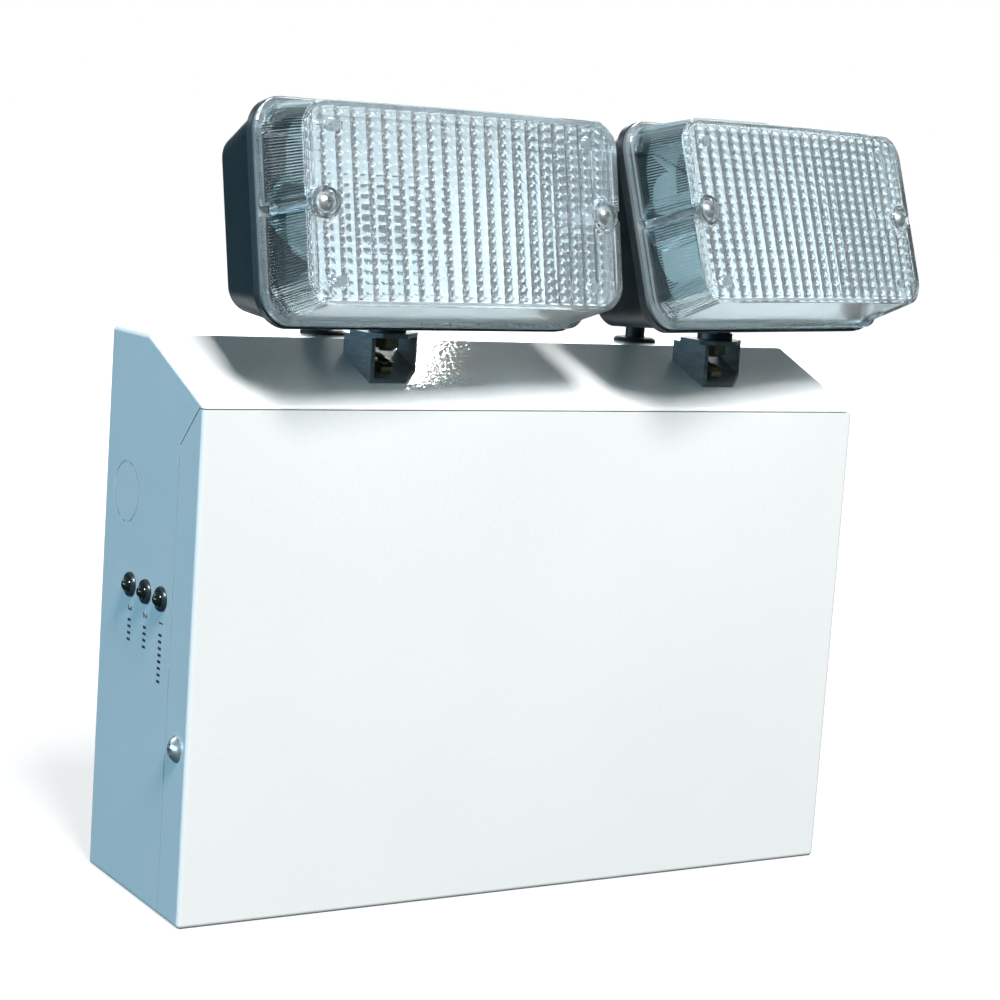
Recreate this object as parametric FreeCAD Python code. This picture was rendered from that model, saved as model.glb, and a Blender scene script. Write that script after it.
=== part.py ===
import FreeCAD, Part
import math
import os

# Twin-head emergency light: a folded steel cabinet with two turning lamp heads on top.
# Millimetres, +Z up. The pieces are drawn with the cabinet's bottom at Z = 0 and the wall at Y = 0, the front
# facing -Y. When they are saved, the origin goes to the middle of the four wall fixing holes.

V = FreeCAD.Vector

# Cabinet
WIDTH = 260.0
HEIGHT = 188.0
DEPTH = 77.0
TOP_DEPTH = 32.0
SLOPE_DROP = 18.0
SHEET = 1.5
FOLD_R = 1.6
SEAM = 0.35
COVER_TOP = 1.3
FLANGE_DEPTH = 16.5
FLANGE_TOP_DROP = 33.0
LIP_GAP = 0.3

# Wall fixing holes in the back
FIX_X = 190.0
FIX_LOW = 40.0
FIX_TOP_DROP = 38.0
FIX_HOLE = 5.5

# Cable knockout, lamps and screws on the sides
KNOCK_Y = -18.5
KNOCK_DROP = 54.0
KNOCK_D = 20.8
KNOCK_GROOVE = 0.5
KNOCK_DEEP = 0.7
LED_FIRST_Y = -26.0
LED_PITCH = 13.0
LED_COUNT = 3
LED_Z = 103.8
LED_D = 5.0
LED_CLIP_D = 6.4
LED_FLANGE_D = 8.4
LED_FLANGE = 1.3
LED_BODY = 10.0
SCREW_Y = -68.8
SCREW_Z = 58.0
SCREW_HEAD_D = 9.0
SCREW_DOME = 2.6
SCREW_D = 4.0
SCREW_LENGTH = 9.0

# Things inside the cabinet
BATTERY = (151.0, 65.0, 94.0)
BATTERY_X = -36.0
BATTERY_BACK = 4.0
STRAP = 1.0
STRAP_WIDTH = 16.0
STRAP_FOOT = 12.0
BOARD = (126.0, 46.0, 1.6)
BOARD_X = 2.0
BOARD_DROP = 54.0
STANDOFF = 8.0
CORE = (54.0, 34.0, 46.0)
COIL = (36.0, 44.0, 30.0)
CORE_X = 82.0
CORE_Z = 60.0

# Where the heads stand: pivot places, and the way each head is turned at rest
HEAD_X = {"left": -53.0, "right": 83.0}
HEAD_PAN = {"left": 7.5, "right": 15.5}
HEAD_TILT = {"left": 10.5, "right": 17.0}
PIVOT_Y = -52.0
AXIS_UP = 12.0

# Bracket and swivel
BRACKET_W = 22.0
BRACKET_D = 20.0
BRACKET_T = 1.5
BRACKET_RISE = 4.5
BRACKET_CLIP = 4.0
BRACKET_CORNER = 8.5
PIVOT_D = 5.0
PIVOT_NUT = (8.0, 4.0)
PIVOT_LONG = 6.4
RUN_GAP = 0.05
FACE_GAP = 0.05
SWIVEL_R = 6.4
SWIVEL_T = 2.4
EAR_W = 8.0
EAR_R = 4.0
EAR_GAP = 0.35
TILT_D = 4.0
LUG_T = 3.5
BASE_BOLT_D = 4.0
BASE_BOLT = (-3.5, -3.0)
BASE_NUT = (7.0, 2.8)
RIVET = (0.0, 6.4)
RIVET_R = 2.6

# Head, measured from the tilt axis: +Y back, +Z up, middle of the head at HEAD_UP
HEAD_UP = 27.5
FACE_W = 127.0
FACE_H = 63.5
FACE_Y = -47.4
CROWN = 2.0
LENS_W = 129.5
LENS_H = 68.5
LENS_WALL = 2.2
FLANGE_W = 131.5
FLANGE_H = 72.0
FLANGE_Y = -26.0
FLANGE_T = 2.5
GASKET_T = 1.2
RIM_W = 132.5
RIM_H = 73.0
RIM_T = 2.5
BODY_W = 130.0
BODY_H = 70.0
BACK_W = 119.0
BACK_H = 58.0
BACK_Y = 5.5
BODY_WALL = 2.2
CORNER_R = 10.0
FLUTES = 22
FLUTE_DEEP = 0.8
BAND_COUNT = 18
BAND_DEEP = 0.7
WALL_RIBS = 17
WALL_RIB_DEEP = 0.6
LENS_SCREW_X = 56.5
BOSS_R = 5.0
LENS_SCREW_R = 2.0
LENS_SCREW_HEAD = (3.4, 2.2)
POST_R = 4.0
REBATE_W = 127.0
REBATE_H = 67.0
REBATE = 1.2
FIT = 0.15
BOWL = ((0.9, 101.0, 53.0, 18.0), (6.5, 86.0, 43.0, 16.0), (12.5, 64.0, 32.0, 12.0), (19.0, 35.0, 20.0, 8.0))
BOWL_T = 1.2
BULB_R = 4.5
BULB_TIP = -0.5
HOLDER_R = 6.5
HOLDER_IN = 16.0

# Leads
LEAD_R = 3.6
LEAD_UP = 12.5
LEAD_BEND = 14.5
LEAD_REACH = 38.0
LEAD_HOLE_GAP = 0.3
GROMMET_R = 8.0
GROMMET_NECK = 5.8
GROMMET_T = 1.6
LEAD_TAIL = 9.0
BOOT_R = (7.2, 5.2)
BOOT_LONG = 8.0

# Values that follow from the sizes above
FRONT = -DEPTH
FLANGE_TOP = HEIGHT - FLANGE_TOP_DROP
FIX_HIGH = HEIGHT - FIX_TOP_DROP
KNOCK_Z = HEIGHT - KNOCK_DROP
BOARD_Z = HEIGHT - BOARD_DROP
ORIGIN_UP = (FIX_LOW + FIX_HIGH) / 2
SLOPE = math.degrees(math.atan2(SLOPE_DROP, DEPTH - TOP_DEPTH))
AXIS_Z = HEIGHT + AXIS_UP
BRACKET_TOP = HEIGHT + BRACKET_RISE
PIVOT_END = BRACKET_TOP - PIVOT_LONG
LENS_BACK = FLANGE_Y + FLANGE_T
RIM_Y = LENS_BACK + GASKET_T
BODY_Y = RIM_Y + RIM_T
BOSS_SEAT = FACE_Y + 0.4
BULB_TIP_Y = RIM_Y + BULB_TIP
HOLDER_FRONT = RIM_Y + HOLDER_IN


def box(x0, x1, y0, y1, z0, z1):
    return Part.makeBox(x1 - x0, y1 - y0, z1 - z0, V(x0, y0, z0))


def rod(r, start, end):
    line = V(*end) - V(*start)
    return Part.makeCylinder(r, line.Length, V(*start), line)


def prism_x(points, x0, x1):
    wire = Part.makePolygon([V(x0, y, z) for y, z in points + points[:1]])
    return Part.Face(wire).extrude(V(x1 - x0, 0, 0))


def inset(points, t):
    """Moves every side of a convex outline inwards by t."""
    sides = []
    count = len(points)
    for i in range(count):
        (y0, z0), (y1, z1) = points[i], points[(i + 1) % count]
        long = math.hypot(y1 - y0, z1 - z0)
        ny, nz = (z1 - z0) / long, -(y1 - y0) / long
        sides.append((ny, nz, ny * y0 + nz * z0 + t))
    result = []
    for i in range(count):
        a, b = sides[i - 1], sides[i]
        det = a[0] * b[1] - a[1] * b[0]
        result.append(((a[2] * b[1] - a[1] * b[2]) / det, (a[0] * b[2] - a[2] * b[0]) / det))
    return result


def slope_z(y):
    return HEIGHT - (-y - TOP_DEPTH) * SLOPE_DROP / (DEPTH - TOP_DEPTH)


def hexagon(flats, height, place, axis):
    around = [math.radians(60 * i) for i in range(7)]
    r = flats / math.sqrt(3)
    wire = Part.makePolygon([V(r * math.cos(a), r * math.sin(a), 0) for a in around])
    solid = Part.Face(wire).extrude(V(0, 0, height))
    solid.Placement = FreeCAD.Placement(V(*place), FreeCAD.Rotation(V(0, 0, 1), V(*axis)))
    return solid


def dome(r, high, place, axis):
    ball = (r * r + high * high) / (2 * high)
    cap = Part.makeSphere(ball, V(0, 0, high - ball)).common(Part.makeCylinder(r, high))
    cap.Placement = FreeCAD.Placement(V(*place), FreeCAD.Rotation(V(0, 0, 1), V(*axis)))
    return cap


def fused(shapes):
    whole = shapes[0].fuse(shapes[1:]) if len(shapes) > 1 else shapes[0]
    return whole.removeSplitter()


def save(name, solids):
    shape = Part.makeCompound(solids) if len(solids) > 1 else solids[0]
    shape.translate(V(0, 0, -ORIGIN_UP))
    shape.exportStep(os.path.join("parts", name + ".step"))
    print(name, len(shape.Solids), "solid(s)", round(shape.Volume, 1), "mm3")


# The cabinet's sheet, before it is parted into box and cover

def cabinet_outline():
    return [(0, 0), (FRONT, 0), (FRONT, HEIGHT - SLOPE_DROP), (-TOP_DEPTH, HEIGHT), (0, HEIGHT)]


def cabinet_sheet():
    half = WIDTH / 2
    outer = prism_x(cabinet_outline(), -half, half)
    outer = outer.makeFillet(FOLD_R, outer.Edges)
    inner = prism_x(inset(cabinet_outline(), SHEET), -half + SHEET, half - SHEET)
    return outer.cut(inner)


def cover_zone(gap):
    back = FRONT + FLANGE_DEPTH + gap
    top = HEIGHT - SLOPE_DROP - COVER_TOP + gap
    low = -1.0
    mitre = top - FLANGE_TOP - gap
    outline = [(back, low), (FRONT - 1, low), (FRONT - 1, top), (back - mitre, top), (back, FLANGE_TOP + gap)]
    return prism_x(outline, -WIDTH / 2 - 1, WIDTH / 2 + 1)


def lips():
    """The joggled edges of the box that lie behind the cover's flanges."""
    half = WIDTH / 2
    out = half - SHEET - LIP_GAP
    back = FRONT + FLANGE_DEPTH + SEAM
    low = SHEET + LIP_GAP
    front = FRONT + SHEET + 1.2
    top = HEIGHT - SLOPE_DROP
    solids = []
    for side in (-1, 1):
        edge = sorted((side * (out - SHEET), side * out))
        root = sorted((side * (out - SHEET), side * (half - SHEET / 2)))
        solids.append(box(edge[0], edge[1], front, back + SHEET, low, FLANGE_TOP - 6))
        solids.append(box(root[0], root[1], back, back + SHEET, low, FLANGE_TOP - 6))
    behind = FRONT + SHEET + LIP_GAP
    reach = out - SHEET
    solids.append(box(-reach, reach, behind, behind + SHEET, top - 14, top))
    return solids


def grommet_place(side):
    turn = math.radians(HEAD_PAN[side])
    return (HEAD_X[side] - LEAD_REACH * math.sin(turn), PIVOT_Y + LEAD_REACH * math.cos(turn))


def led_places():
    return [LED_FIRST_Y - LED_PITCH * i for i in range(LED_COUNT)]


def slope_point(side, offset):
    y = PIVOT_Y + offset[1]
    return V(HEAD_X[side] + offset[0], y, slope_z(y))


def slope_normal():
    a = math.radians(SLOPE)
    return V(0, -math.sin(a), math.cos(a))


def back_box(sheet):
    half = WIDTH / 2
    solid = fused([sheet.cut(cover_zone(SEAM))] + lips())
    cuts = []
    for x in (-FIX_X / 2, FIX_X / 2):
        for z in (FIX_LOW, FIX_HIGH):
            cuts.append(rod(FIX_HOLE / 2, (x, -5, z), (x, 1, z)))
    for y in led_places():
        cuts.append(rod(LED_CLIP_D / 2, (-half - 1, y, LED_Z), (-half + 4, y, LED_Z)))
    ring = rod(KNOCK_D / 2, (-half - 1, KNOCK_Y, KNOCK_Z), (-half + KNOCK_DEEP, KNOCK_Y, KNOCK_Z))
    core = rod(KNOCK_D / 2 - KNOCK_GROOVE, (-half - 2, KNOCK_Y, KNOCK_Z), (-half + 2, KNOCK_Y, KNOCK_Z))
    cuts.append(ring.cut(core))
    for side in (-1, 1):
        cuts.append(rod(SCREW_D / 2, (side * (half - 6), SCREW_Y, SCREW_Z), (side * half, SCREW_Y, SCREW_Z)))
    for side in HEAD_X:
        x, y = grommet_place(side)
        cuts.append(rod(GROMMET_NECK, (x, y, HEIGHT - 5), (x, y, HEIGHT + 1)))
        for offset in (BASE_BOLT, RIVET):
            p = slope_point(side, offset)
            n = slope_normal()
            cuts.append(Part.makeCylinder(BASE_BOLT_D / 2, 10, p - n * 5, n))
    return solid.cut(Part.makeCompound(cuts)).removeSplitter()


def front_cover(sheet):
    half = WIDTH / 2
    solid = sheet.common(cover_zone(0))
    holes = [rod(SCREW_D / 2 + 0.3, (s * (half - 5), SCREW_Y, SCREW_Z), (s * (half + 1), SCREW_Y, SCREW_Z))
             for s in (-1, 1)]
    return solid.cut(Part.makeCompound(holes))


def cover_screws():
    half = WIDTH / 2
    solids = []
    for side in (-1, 1):
        head = dome(SCREW_HEAD_D / 2, SCREW_DOME, (side * half, SCREW_Y, SCREW_Z), (side, 0, 0))
        end = side * (half - SCREW_LENGTH)
        shank = rod(SCREW_D / 2, (end, SCREW_Y, SCREW_Z), (side * half, SCREW_Y, SCREW_Z))
        solids.append(fused([head, shank]))
    return solids


# Indicator lamps in the left side

def led_holders():
    half = WIDTH / 2
    solids = []
    for y in led_places():
        flange = rod(LED_FLANGE_D / 2, (-half - LED_FLANGE, y, LED_Z), (-half, y, LED_Z))
        body = rod(LED_CLIP_D / 2, (-half, y, LED_Z), (-half + LED_BODY, y, LED_Z))
        bore = rod(LED_D / 2, (-half - 5, y, LED_Z), (-half + LED_BODY + 1, y, LED_Z))
        solids.append(fused([flange, body]).cut(bore))
    return solids


def leds():
    half = WIDTH / 2
    solids = []
    for y in led_places():
        body = rod(LED_D / 2, (-half - LED_FLANGE, y, LED_Z), (-half + LED_BODY - 2, y, LED_Z))
        tip = dome(LED_D / 2, LED_D / 2 - 0.4, (-half - LED_FLANGE, y, LED_Z), (-1, 0, 0))
        solids.append(fused([body, tip]))
    return solids


# Battery, charger and transformer

def battery():
    w, d, h = BATTERY
    floor = SHEET
    case = box(BATTERY_X - w / 2, BATTERY_X + w / 2, -BATTERY_BACK - d, -BATTERY_BACK, floor, floor + h - 4)
    lid = box(BATTERY_X - w / 2 + 2, BATTERY_X + w / 2 - 2, -BATTERY_BACK - d + 2, -BATTERY_BACK - 2,
              floor + h - 4, floor + h)
    return fused([case, lid])


def battery_terminals():
    top = SHEET + BATTERY[2]
    y = -BATTERY_BACK - 14
    return [box(x - 2.4, x + 2.4, y - 0.4, y + 0.4, top, top + 6) for x in (BATTERY_X - 66, BATTERY_X + 66)]


def battery_strap():
    w, d, h = BATTERY
    z0, z1 = SHEET + 40, SHEET + 40 + STRAP_WIDTH
    left, right = BATTERY_X - w / 2, BATTERY_X + w / 2
    front = -BATTERY_BACK - d
    bars = [box(left - STRAP, right + STRAP, front - STRAP, front, z0, z1),
            box(left - STRAP, left, front, -SHEET, z0, z1),
            box(right, right + STRAP, front, -SHEET, z0, z1),
            box(left - STRAP_FOOT, left, -SHEET - STRAP, -SHEET, z0, z1),
            box(right, right + STRAP_FOOT, -SHEET - STRAP, -SHEET, z0, z1)]
    holes = [rod(1.5, (x, -4, (z0 + z1) / 2), (x, 0, (z0 + z1) / 2)) for x in strap_screw_x()]
    return fused(bars).cut(Part.makeCompound(holes))


def strap_screw_x():
    w = BATTERY[0]
    return (BATTERY_X - w / 2 - STRAP_FOOT / 2 - 0.5, BATTERY_X + w / 2 + STRAP_FOOT / 2 + 0.5)


def strap_screws():
    z = SHEET + 40 + STRAP_WIDTH / 2
    y = -SHEET - STRAP
    solids = []
    for x in strap_screw_x():
        solids.append(fused([dome(3.0, 1.8, (x, y, z), (0, -1, 0)), rod(1.5, (x, y, z), (x, -SHEET, z))]))
    return solids


def board_corners():
    w, h, t = BOARD
    return [(BOARD_X + sx * (w / 2 - 5), BOARD_Z + sz * (h / 2 - 5)) for sx in (-1, 1) for sz in (-1, 1)]


def charger_board():
    w, h, t = BOARD
    y = -SHEET - STANDOFF
    plate = box(BOARD_X - w / 2, BOARD_X + w / 2, y - t, y, BOARD_Z - h / 2, BOARD_Z + h / 2)
    holes = [rod(1.6, (x, y - 5, z), (x, y + 1, z)) for x, z in board_corners()]
    return plate.cut(Part.makeCompound(holes))


def board_posts():
    y = -SHEET - STANDOFF
    solids = []
    for x, z in board_corners():
        solids.append(fused([rod(3.0, (x, y, z), (x, -SHEET, z)), rod(1.6, (x, y - BOARD[2], z), (x, y, z)),
                             rod(2.8, (x, y - BOARD[2] - 1.5, z), (x, y - BOARD[2], z))]))
    return solids


def on_board(x0, x1, z0, z1, high):
    y = -SHEET - STANDOFF - BOARD[2]
    return box(BOARD_X + x0, BOARD_X + x1, y - high, y, BOARD_Z + z0, BOARD_Z + z1)


def capacitor():
    y = -SHEET - STANDOFF - BOARD[2]
    return rod(8.0, (BOARD_X + 6, y - 22, BOARD_Z), (BOARD_X + 6, y, BOARD_Z)).fuse(
        rod(7.2, (BOARD_X + 6, y - 23, BOARD_Z), (BOARD_X + 6, y - 22, BOARD_Z))).removeSplitter()


def fuse_holder():
    base = on_board(26, 50, -16, -6, 4)
    ends = [on_board(26, 30, -16, -6, 9), on_board(46, 50, -16, -6, 9)]
    y = -SHEET - STANDOFF - BOARD[2] - 6
    tube = rod(2.5, (BOARD_X + 30, y, BOARD_Z - 11), (BOARD_X + 46, y, BOARD_Z - 11))
    return fused([base] + ends + [tube])


def terminal_block():
    w, d, h = 34.0, 17.0, 20.0
    x0, z0 = -112.0, 138.0
    body = box(x0, x0 + w, -SHEET - d, -SHEET, z0, z0 + h)
    wells = []
    for i in range(3):
        x = x0 + w * (i + 0.5) / 3
        wells.append(rod(2.6, (x, -SHEET - d - 1, z0 + 5.5), (x, -SHEET - d + 5, z0 + 5.5)))
        wells.append(rod(2.6, (x, -SHEET - d - 1, z0 + h - 5.5), (x, -SHEET - d + 5, z0 + h - 5.5)))
    return body.cut(Part.makeCompound(wells))


def transformer_core():
    w, d, h = CORE
    y1 = -SHEET - (COIL[1] - d) / 2
    block = box(CORE_X - w / 2, CORE_X + w / 2, y1 - d, y1, CORE_Z - h / 2, CORE_Z + h / 2)
    slots = []
    for sx in (-1, 1):
        edge = sorted((CORE_X + sx * 9, CORE_X + sx * COIL[0] / 2))
        slots.append(box(edge[0], edge[1], y1 - d - 1, y1 + 1, CORE_Z - COIL[2] / 2, CORE_Z + COIL[2] / 2))
    return block.cut(Part.makeCompound(slots))


def transformer_coil():
    w, d, h = COIL
    y1 = -SHEET
    block = box(CORE_X - w / 2, CORE_X + w / 2, y1 - d, y1, CORE_Z - h / 2, CORE_Z + h / 2)
    core_y1 = -SHEET - (d - CORE[1]) / 2
    core_y0 = core_y1 - CORE[1]
    tunnel = box(CORE_X - 9, CORE_X + 9, core_y0, core_y1, CORE_Z - h / 2, CORE_Z + h / 2)
    return block.cut(tunnel)


# Bracket on the slope: a short length of square tube, cut to the slope, with one front corner cut away

def bracket(side):
    x = HEAD_X[side]
    half_w, half_d = BRACKET_W / 2, BRACKET_D / 2
    y0, y1 = PIVOT_Y - half_d, PIVOT_Y + half_d
    outline = [(y1, slope_z(y1)), (y0, slope_z(y0)), (y0, BRACKET_TOP), (y1, BRACKET_TOP)]
    lift = BRACKET_T / math.cos(math.radians(SLOPE))
    hollow = [(y1 + 1, slope_z(y1 + 1) + lift), (y0 - 1, slope_z(y0 - 1) + lift),
              (y0 - 1, BRACKET_TOP - BRACKET_T), (y1 + 1, BRACKET_TOP - BRACKET_T)]
    solid = prism_x(outline, x - half_w, x + half_w)
    solid = solid.cut(prism_x(hollow, x - half_w + BRACKET_T, x + half_w - BRACKET_T))
    cuts = [rod(PIVOT_D / 2 + RUN_GAP, (x, PIVOT_Y, BRACKET_TOP - 4), (x, PIVOT_Y, BRACKET_TOP + 1))]
    for sx in (-1, 1):
        for y, sy in ((y0, 1), (y1, -1)):
            corner = [V(x + sx * half_w, y, 0), V(x + sx * (half_w - BRACKET_CLIP), y, 0),
                      V(x + sx * half_w, y + sy * BRACKET_CLIP, 0)]
            wedge = Part.Face(Part.makePolygon(corner + corner[:1])).extrude(V(0, 0, BRACKET_T))
            wedge.translate(V(0, 0, BRACKET_TOP - BRACKET_T))
            cuts.append(wedge)
    n = slope_normal()
    for offset in (BASE_BOLT, RIVET):
        cuts.append(Part.makeCylinder(BASE_BOLT_D / 2, 8, slope_point(side, offset) - n * 4, n))
    solid = solid.cut(Part.makeCompound(cuts))
    open_corner = [V(x + half_w + 1, y0 - 1, 0), V(x + half_w + 1, y0 + BRACKET_CORNER + 1, 0),
                   V(x + half_w - BRACKET_CORNER - 1, y0 - 1, 0)]
    open_corner = Part.Face(Part.makePolygon(open_corner + open_corner[:1])).extrude(V(0, 0, BRACKET_TOP + 1))
    return solid.cut(open_corner).removeSplitter()


def base_bolt(side):
    n = slope_normal()
    p = slope_point(side, BASE_BOLT)
    under = p - n * SHEET
    top = BRACKET_T + BASE_NUT[1] + 0.6
    shank = Part.makeCylinder(BASE_BOLT_D / 2, SHEET + top, under, n)
    head = dome(3.6, 2.2, tuple(under), tuple(n * -1))
    return fused([shank, head])


def base_nut(side):
    n = slope_normal()
    p = slope_point(side, BASE_BOLT) + n * BRACKET_T
    nut = hexagon(BASE_NUT[0], BASE_NUT[1], tuple(p), tuple(n))
    return nut.cut(Part.makeCylinder(BASE_BOLT_D / 2, 10, p - n * 2, n))


def rivet(side):
    n = slope_normal()
    p = slope_point(side, RIVET)
    shank = Part.makeCylinder(BASE_BOLT_D / 2, SHEET + BRACKET_T, p - n * SHEET, n)
    over = dome(RIVET_R, 1.1, tuple(p + n * BRACKET_T), tuple(n))
    under = dome(RIVET_R, 1.1, tuple(p - n * SHEET), tuple(n * -1))
    return fused([shank, over, under])


# Swivel: a stud that turns in the bracket, a foot, and an ear for the tilt bolt

def pivot_stud(side):
    x = HEAD_X[side]
    return rod(PIVOT_D / 2, (x, PIVOT_Y, PIVOT_END), (x, PIVOT_Y, BRACKET_TOP + SWIVEL_T - 0.6))


def pivot_nut(side):
    x = HEAD_X[side]
    top = BRACKET_TOP - BRACKET_T - FACE_GAP
    nut = hexagon(PIVOT_NUT[0], PIVOT_NUT[1], (x, PIVOT_Y, top - PIVOT_NUT[1]), (0, 0, 1))
    return nut.cut(rod(PIVOT_D / 2, (x, PIVOT_Y, 150), (x, PIVOT_Y, 230)))


def swivel_foot(side):
    low = BRACKET_TOP + FACE_GAP - AXIS_Z
    disc = rod(SWIVEL_R, (0, 0, low), (0, 0, low + SWIVEL_T))
    neck = box(-EAR_W / 2, EAR_W / 2, -EAR_R, EAR_R, low + SWIVEL_T - 0.5, 0)
    ear = rod(EAR_R, (-EAR_W / 2, 0, 0), (EAR_W / 2, 0, 0))
    whole = fused([disc, neck, ear])
    whole = whole.cut(rod(TILT_D / 2 + RUN_GAP, (-20, 0, 0), (20, 0, 0)))
    whole.Placement = FreeCAD.Placement(V(HEAD_X[side], PIVOT_Y, AXIS_Z),
                                        FreeCAD.Rotation(V(0, 0, 1), HEAD_PAN[side]))
    return whole.cut(pivot_stud(side))


# Head pieces, made upright about the tilt axis

def lug_outer():
    return EAR_W / 2 + EAR_GAP + LUG_T


def tilt_bolt():
    end = lug_outer()
    shank = rod(TILT_D / 2, (-end, 0, 0), (end + 4.2, 0, 0))
    return fused([shank, rod(3.5, (-end - 2.4, 0, 0), (-end, 0, 0))])


def tilt_nut():
    nut = hexagon(7.0, 3.2, (lug_outer(), 0, 0), (1, 0, 0))
    return nut.cut(rod(TILT_D / 2, (0, 0, 0), (30, 0, 0)))


def plate_wire(w, h, r, y):
    """A rounded rectangle facing -Y, centred on the head."""
    x, z = w / 2, h / 2
    c = HEAD_UP
    k = r * (1 - math.sqrt(0.5))
    arcs = []
    lines = []
    spots = ((1, 1), (-1, 1), (-1, -1), (1, -1))
    for sx, sz in spots:
        a = V(sx * x, y, c + sz * (z - r))
        m = V(sx * (x - k), y, c + sz * (z - k))
        b = V(sx * (x - r), y, c + sz * z)
        arcs.append((a, m, b) if sx * sz > 0 else (b, m, a))
    for i in range(4):
        lines.append(Part.Arc(*arcs[i]).toShape())
        lines.append(Part.makeLine(arcs[i][2], arcs[(i + 1) % 4][0]))
    return Part.Wire(lines)


def plate(w, h, r, y0, y1):
    return Part.Face(plate_wire(w, h, r, y0)).extrude(V(0, y1 - y0, 0))


def taper(w0, h0, r0, y0, w1, h1, r1, y1):
    return Part.makeLoft([plate_wire(w0, h0, r0, y0), plate_wire(w1, h1, r1, y1)], True, True)


def boss_places():
    return (-LENS_SCREW_X, LENS_SCREW_X)


def flute_cutters():
    """Upright grooves between the lens's columns, on the crowned outer face."""
    ball = (FACE_W * FACE_W / 4 + CROWN * CROWN) / (2 * CROWN)
    pitch = FACE_W / FLUTES
    cutters = []
    for i in range(1, FLUTES):
        x = -FACE_W / 2 + pitch * i
        if min(abs(x - b) for b in boss_places()) < BOSS_R:
            continue
        y = FACE_Y - CROWN + ball - math.sqrt(ball * ball - x * x)
        tri = [V(x - 0.9, y - 0.3, 0), V(x + 0.9, y - 0.3, 0), V(x, y + FLUTE_DEEP, 0)]
        groove = Part.Face(Part.makePolygon(tri + tri[:1])).extrude(V(0, 0, FACE_H - 6))
        groove.translate(V(0, 0, HEAD_UP - FACE_H / 2 + 3))
        cutters.append(groove)
    return cutters


def band_cutters():
    """Level grooves across the inside of the lens's face."""
    inside = FACE_Y + LENS_WALL
    pitch = (FACE_H - 2 * LENS_WALL) / BAND_COUNT
    cutters = []
    for i in range(1, BAND_COUNT):
        z = HEAD_UP - FACE_H / 2 + LENS_WALL + pitch * i
        tri = [(inside + 0.3, z - 0.8), (inside + 0.3, z + 0.8), (inside - BAND_DEEP, z)]
        cutters.append(prism_x(tri, -LENS_SCREW_X + BOSS_R + 1, LENS_SCREW_X - BOSS_R - 1))
    return cutters


def wall_cutters():
    """Grooves that run back along the two end walls of the lens."""
    pitch = (FACE_H - 2 * CORNER_R) / WALL_RIBS
    cutters = []
    for i in range(WALL_RIBS + 1):
        z = HEAD_UP - FACE_H / 2 + CORNER_R + pitch * i
        for sx in (-1, 1):
            front = V(sx * (FACE_W / 2 - WALL_RIB_DEEP), FACE_Y + 2, z)
            back = V(sx * (LENS_W / 2 - WALL_RIB_DEEP), FLANGE_Y, z)
            tri = [front, front + V(sx * 1.2, 0, 0.8), front + V(sx * 1.2, 0, -0.8)]
            cutters.append(Part.Face(Part.makePolygon(tri + tri[:1])).extrude(back - front))
    return cutters


def lens():
    grow = (LENS_W - FACE_W) / (FLANGE_Y - FACE_Y)
    rise = (LENS_H - FACE_H) / (FLANGE_Y - FACE_Y)
    front = FACE_Y - CROWN
    outer = taper(LENS_W, LENS_H, CORNER_R, FLANGE_Y, FACE_W - grow * CROWN, FACE_H - rise * CROWN,
                  CORNER_R - 1, front)
    ball = (FACE_W * FACE_W / 4 + CROWN * CROWN) / (2 * CROWN)
    outer = outer.common(Part.makeCylinder(ball, 200, V(0, front + ball, HEAD_UP - 100)))
    w = 2 * LENS_WALL
    inner = taper(LENS_W - w, LENS_H - w, CORNER_R - 2, LENS_BACK + 1, FACE_W - w, FACE_H - w, CORNER_R - 3,
                  FACE_Y + LENS_WALL)
    flange = plate(FLANGE_W, FLANGE_H, CORNER_R + 1, FLANGE_Y, LENS_BACK)
    bosses = [rod(BOSS_R, (x, FACE_Y + 0.5, HEAD_UP), (x, LENS_BACK, HEAD_UP)) for x in boss_places()]
    solid = outer.fuse(flange).cut(inner)
    solid = solid.cut(Part.makeCompound(flute_cutters() + band_cutters() + wall_cutters()))
    solid = solid.fuse(bosses)
    holes = []
    for x in boss_places():
        holes.append(rod(LENS_SCREW_R, (x, -60, HEAD_UP), (x, 0, HEAD_UP)))
        holes.append(rod(BOSS_R - 0.6, (x, -60, HEAD_UP), (x, BOSS_SEAT, HEAD_UP)))
    return solid.cut(Part.makeCompound(holes)).removeSplitter()


def gasket():
    ring = plate(FLANGE_W, FLANGE_H, CORNER_R + 1, LENS_BACK, RIM_Y)
    ring = ring.cut(plate(REBATE_W - 3, REBATE_H - 3, CORNER_R - 2, LENS_BACK - 1, RIM_Y + 1))
    holes = [rod(BOSS_R + 0.3, (x, LENS_BACK - 1, HEAD_UP), (x, RIM_Y + 1, HEAD_UP)) for x in boss_places()]
    return ring.cut(Part.makeCompound(holes))


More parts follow.
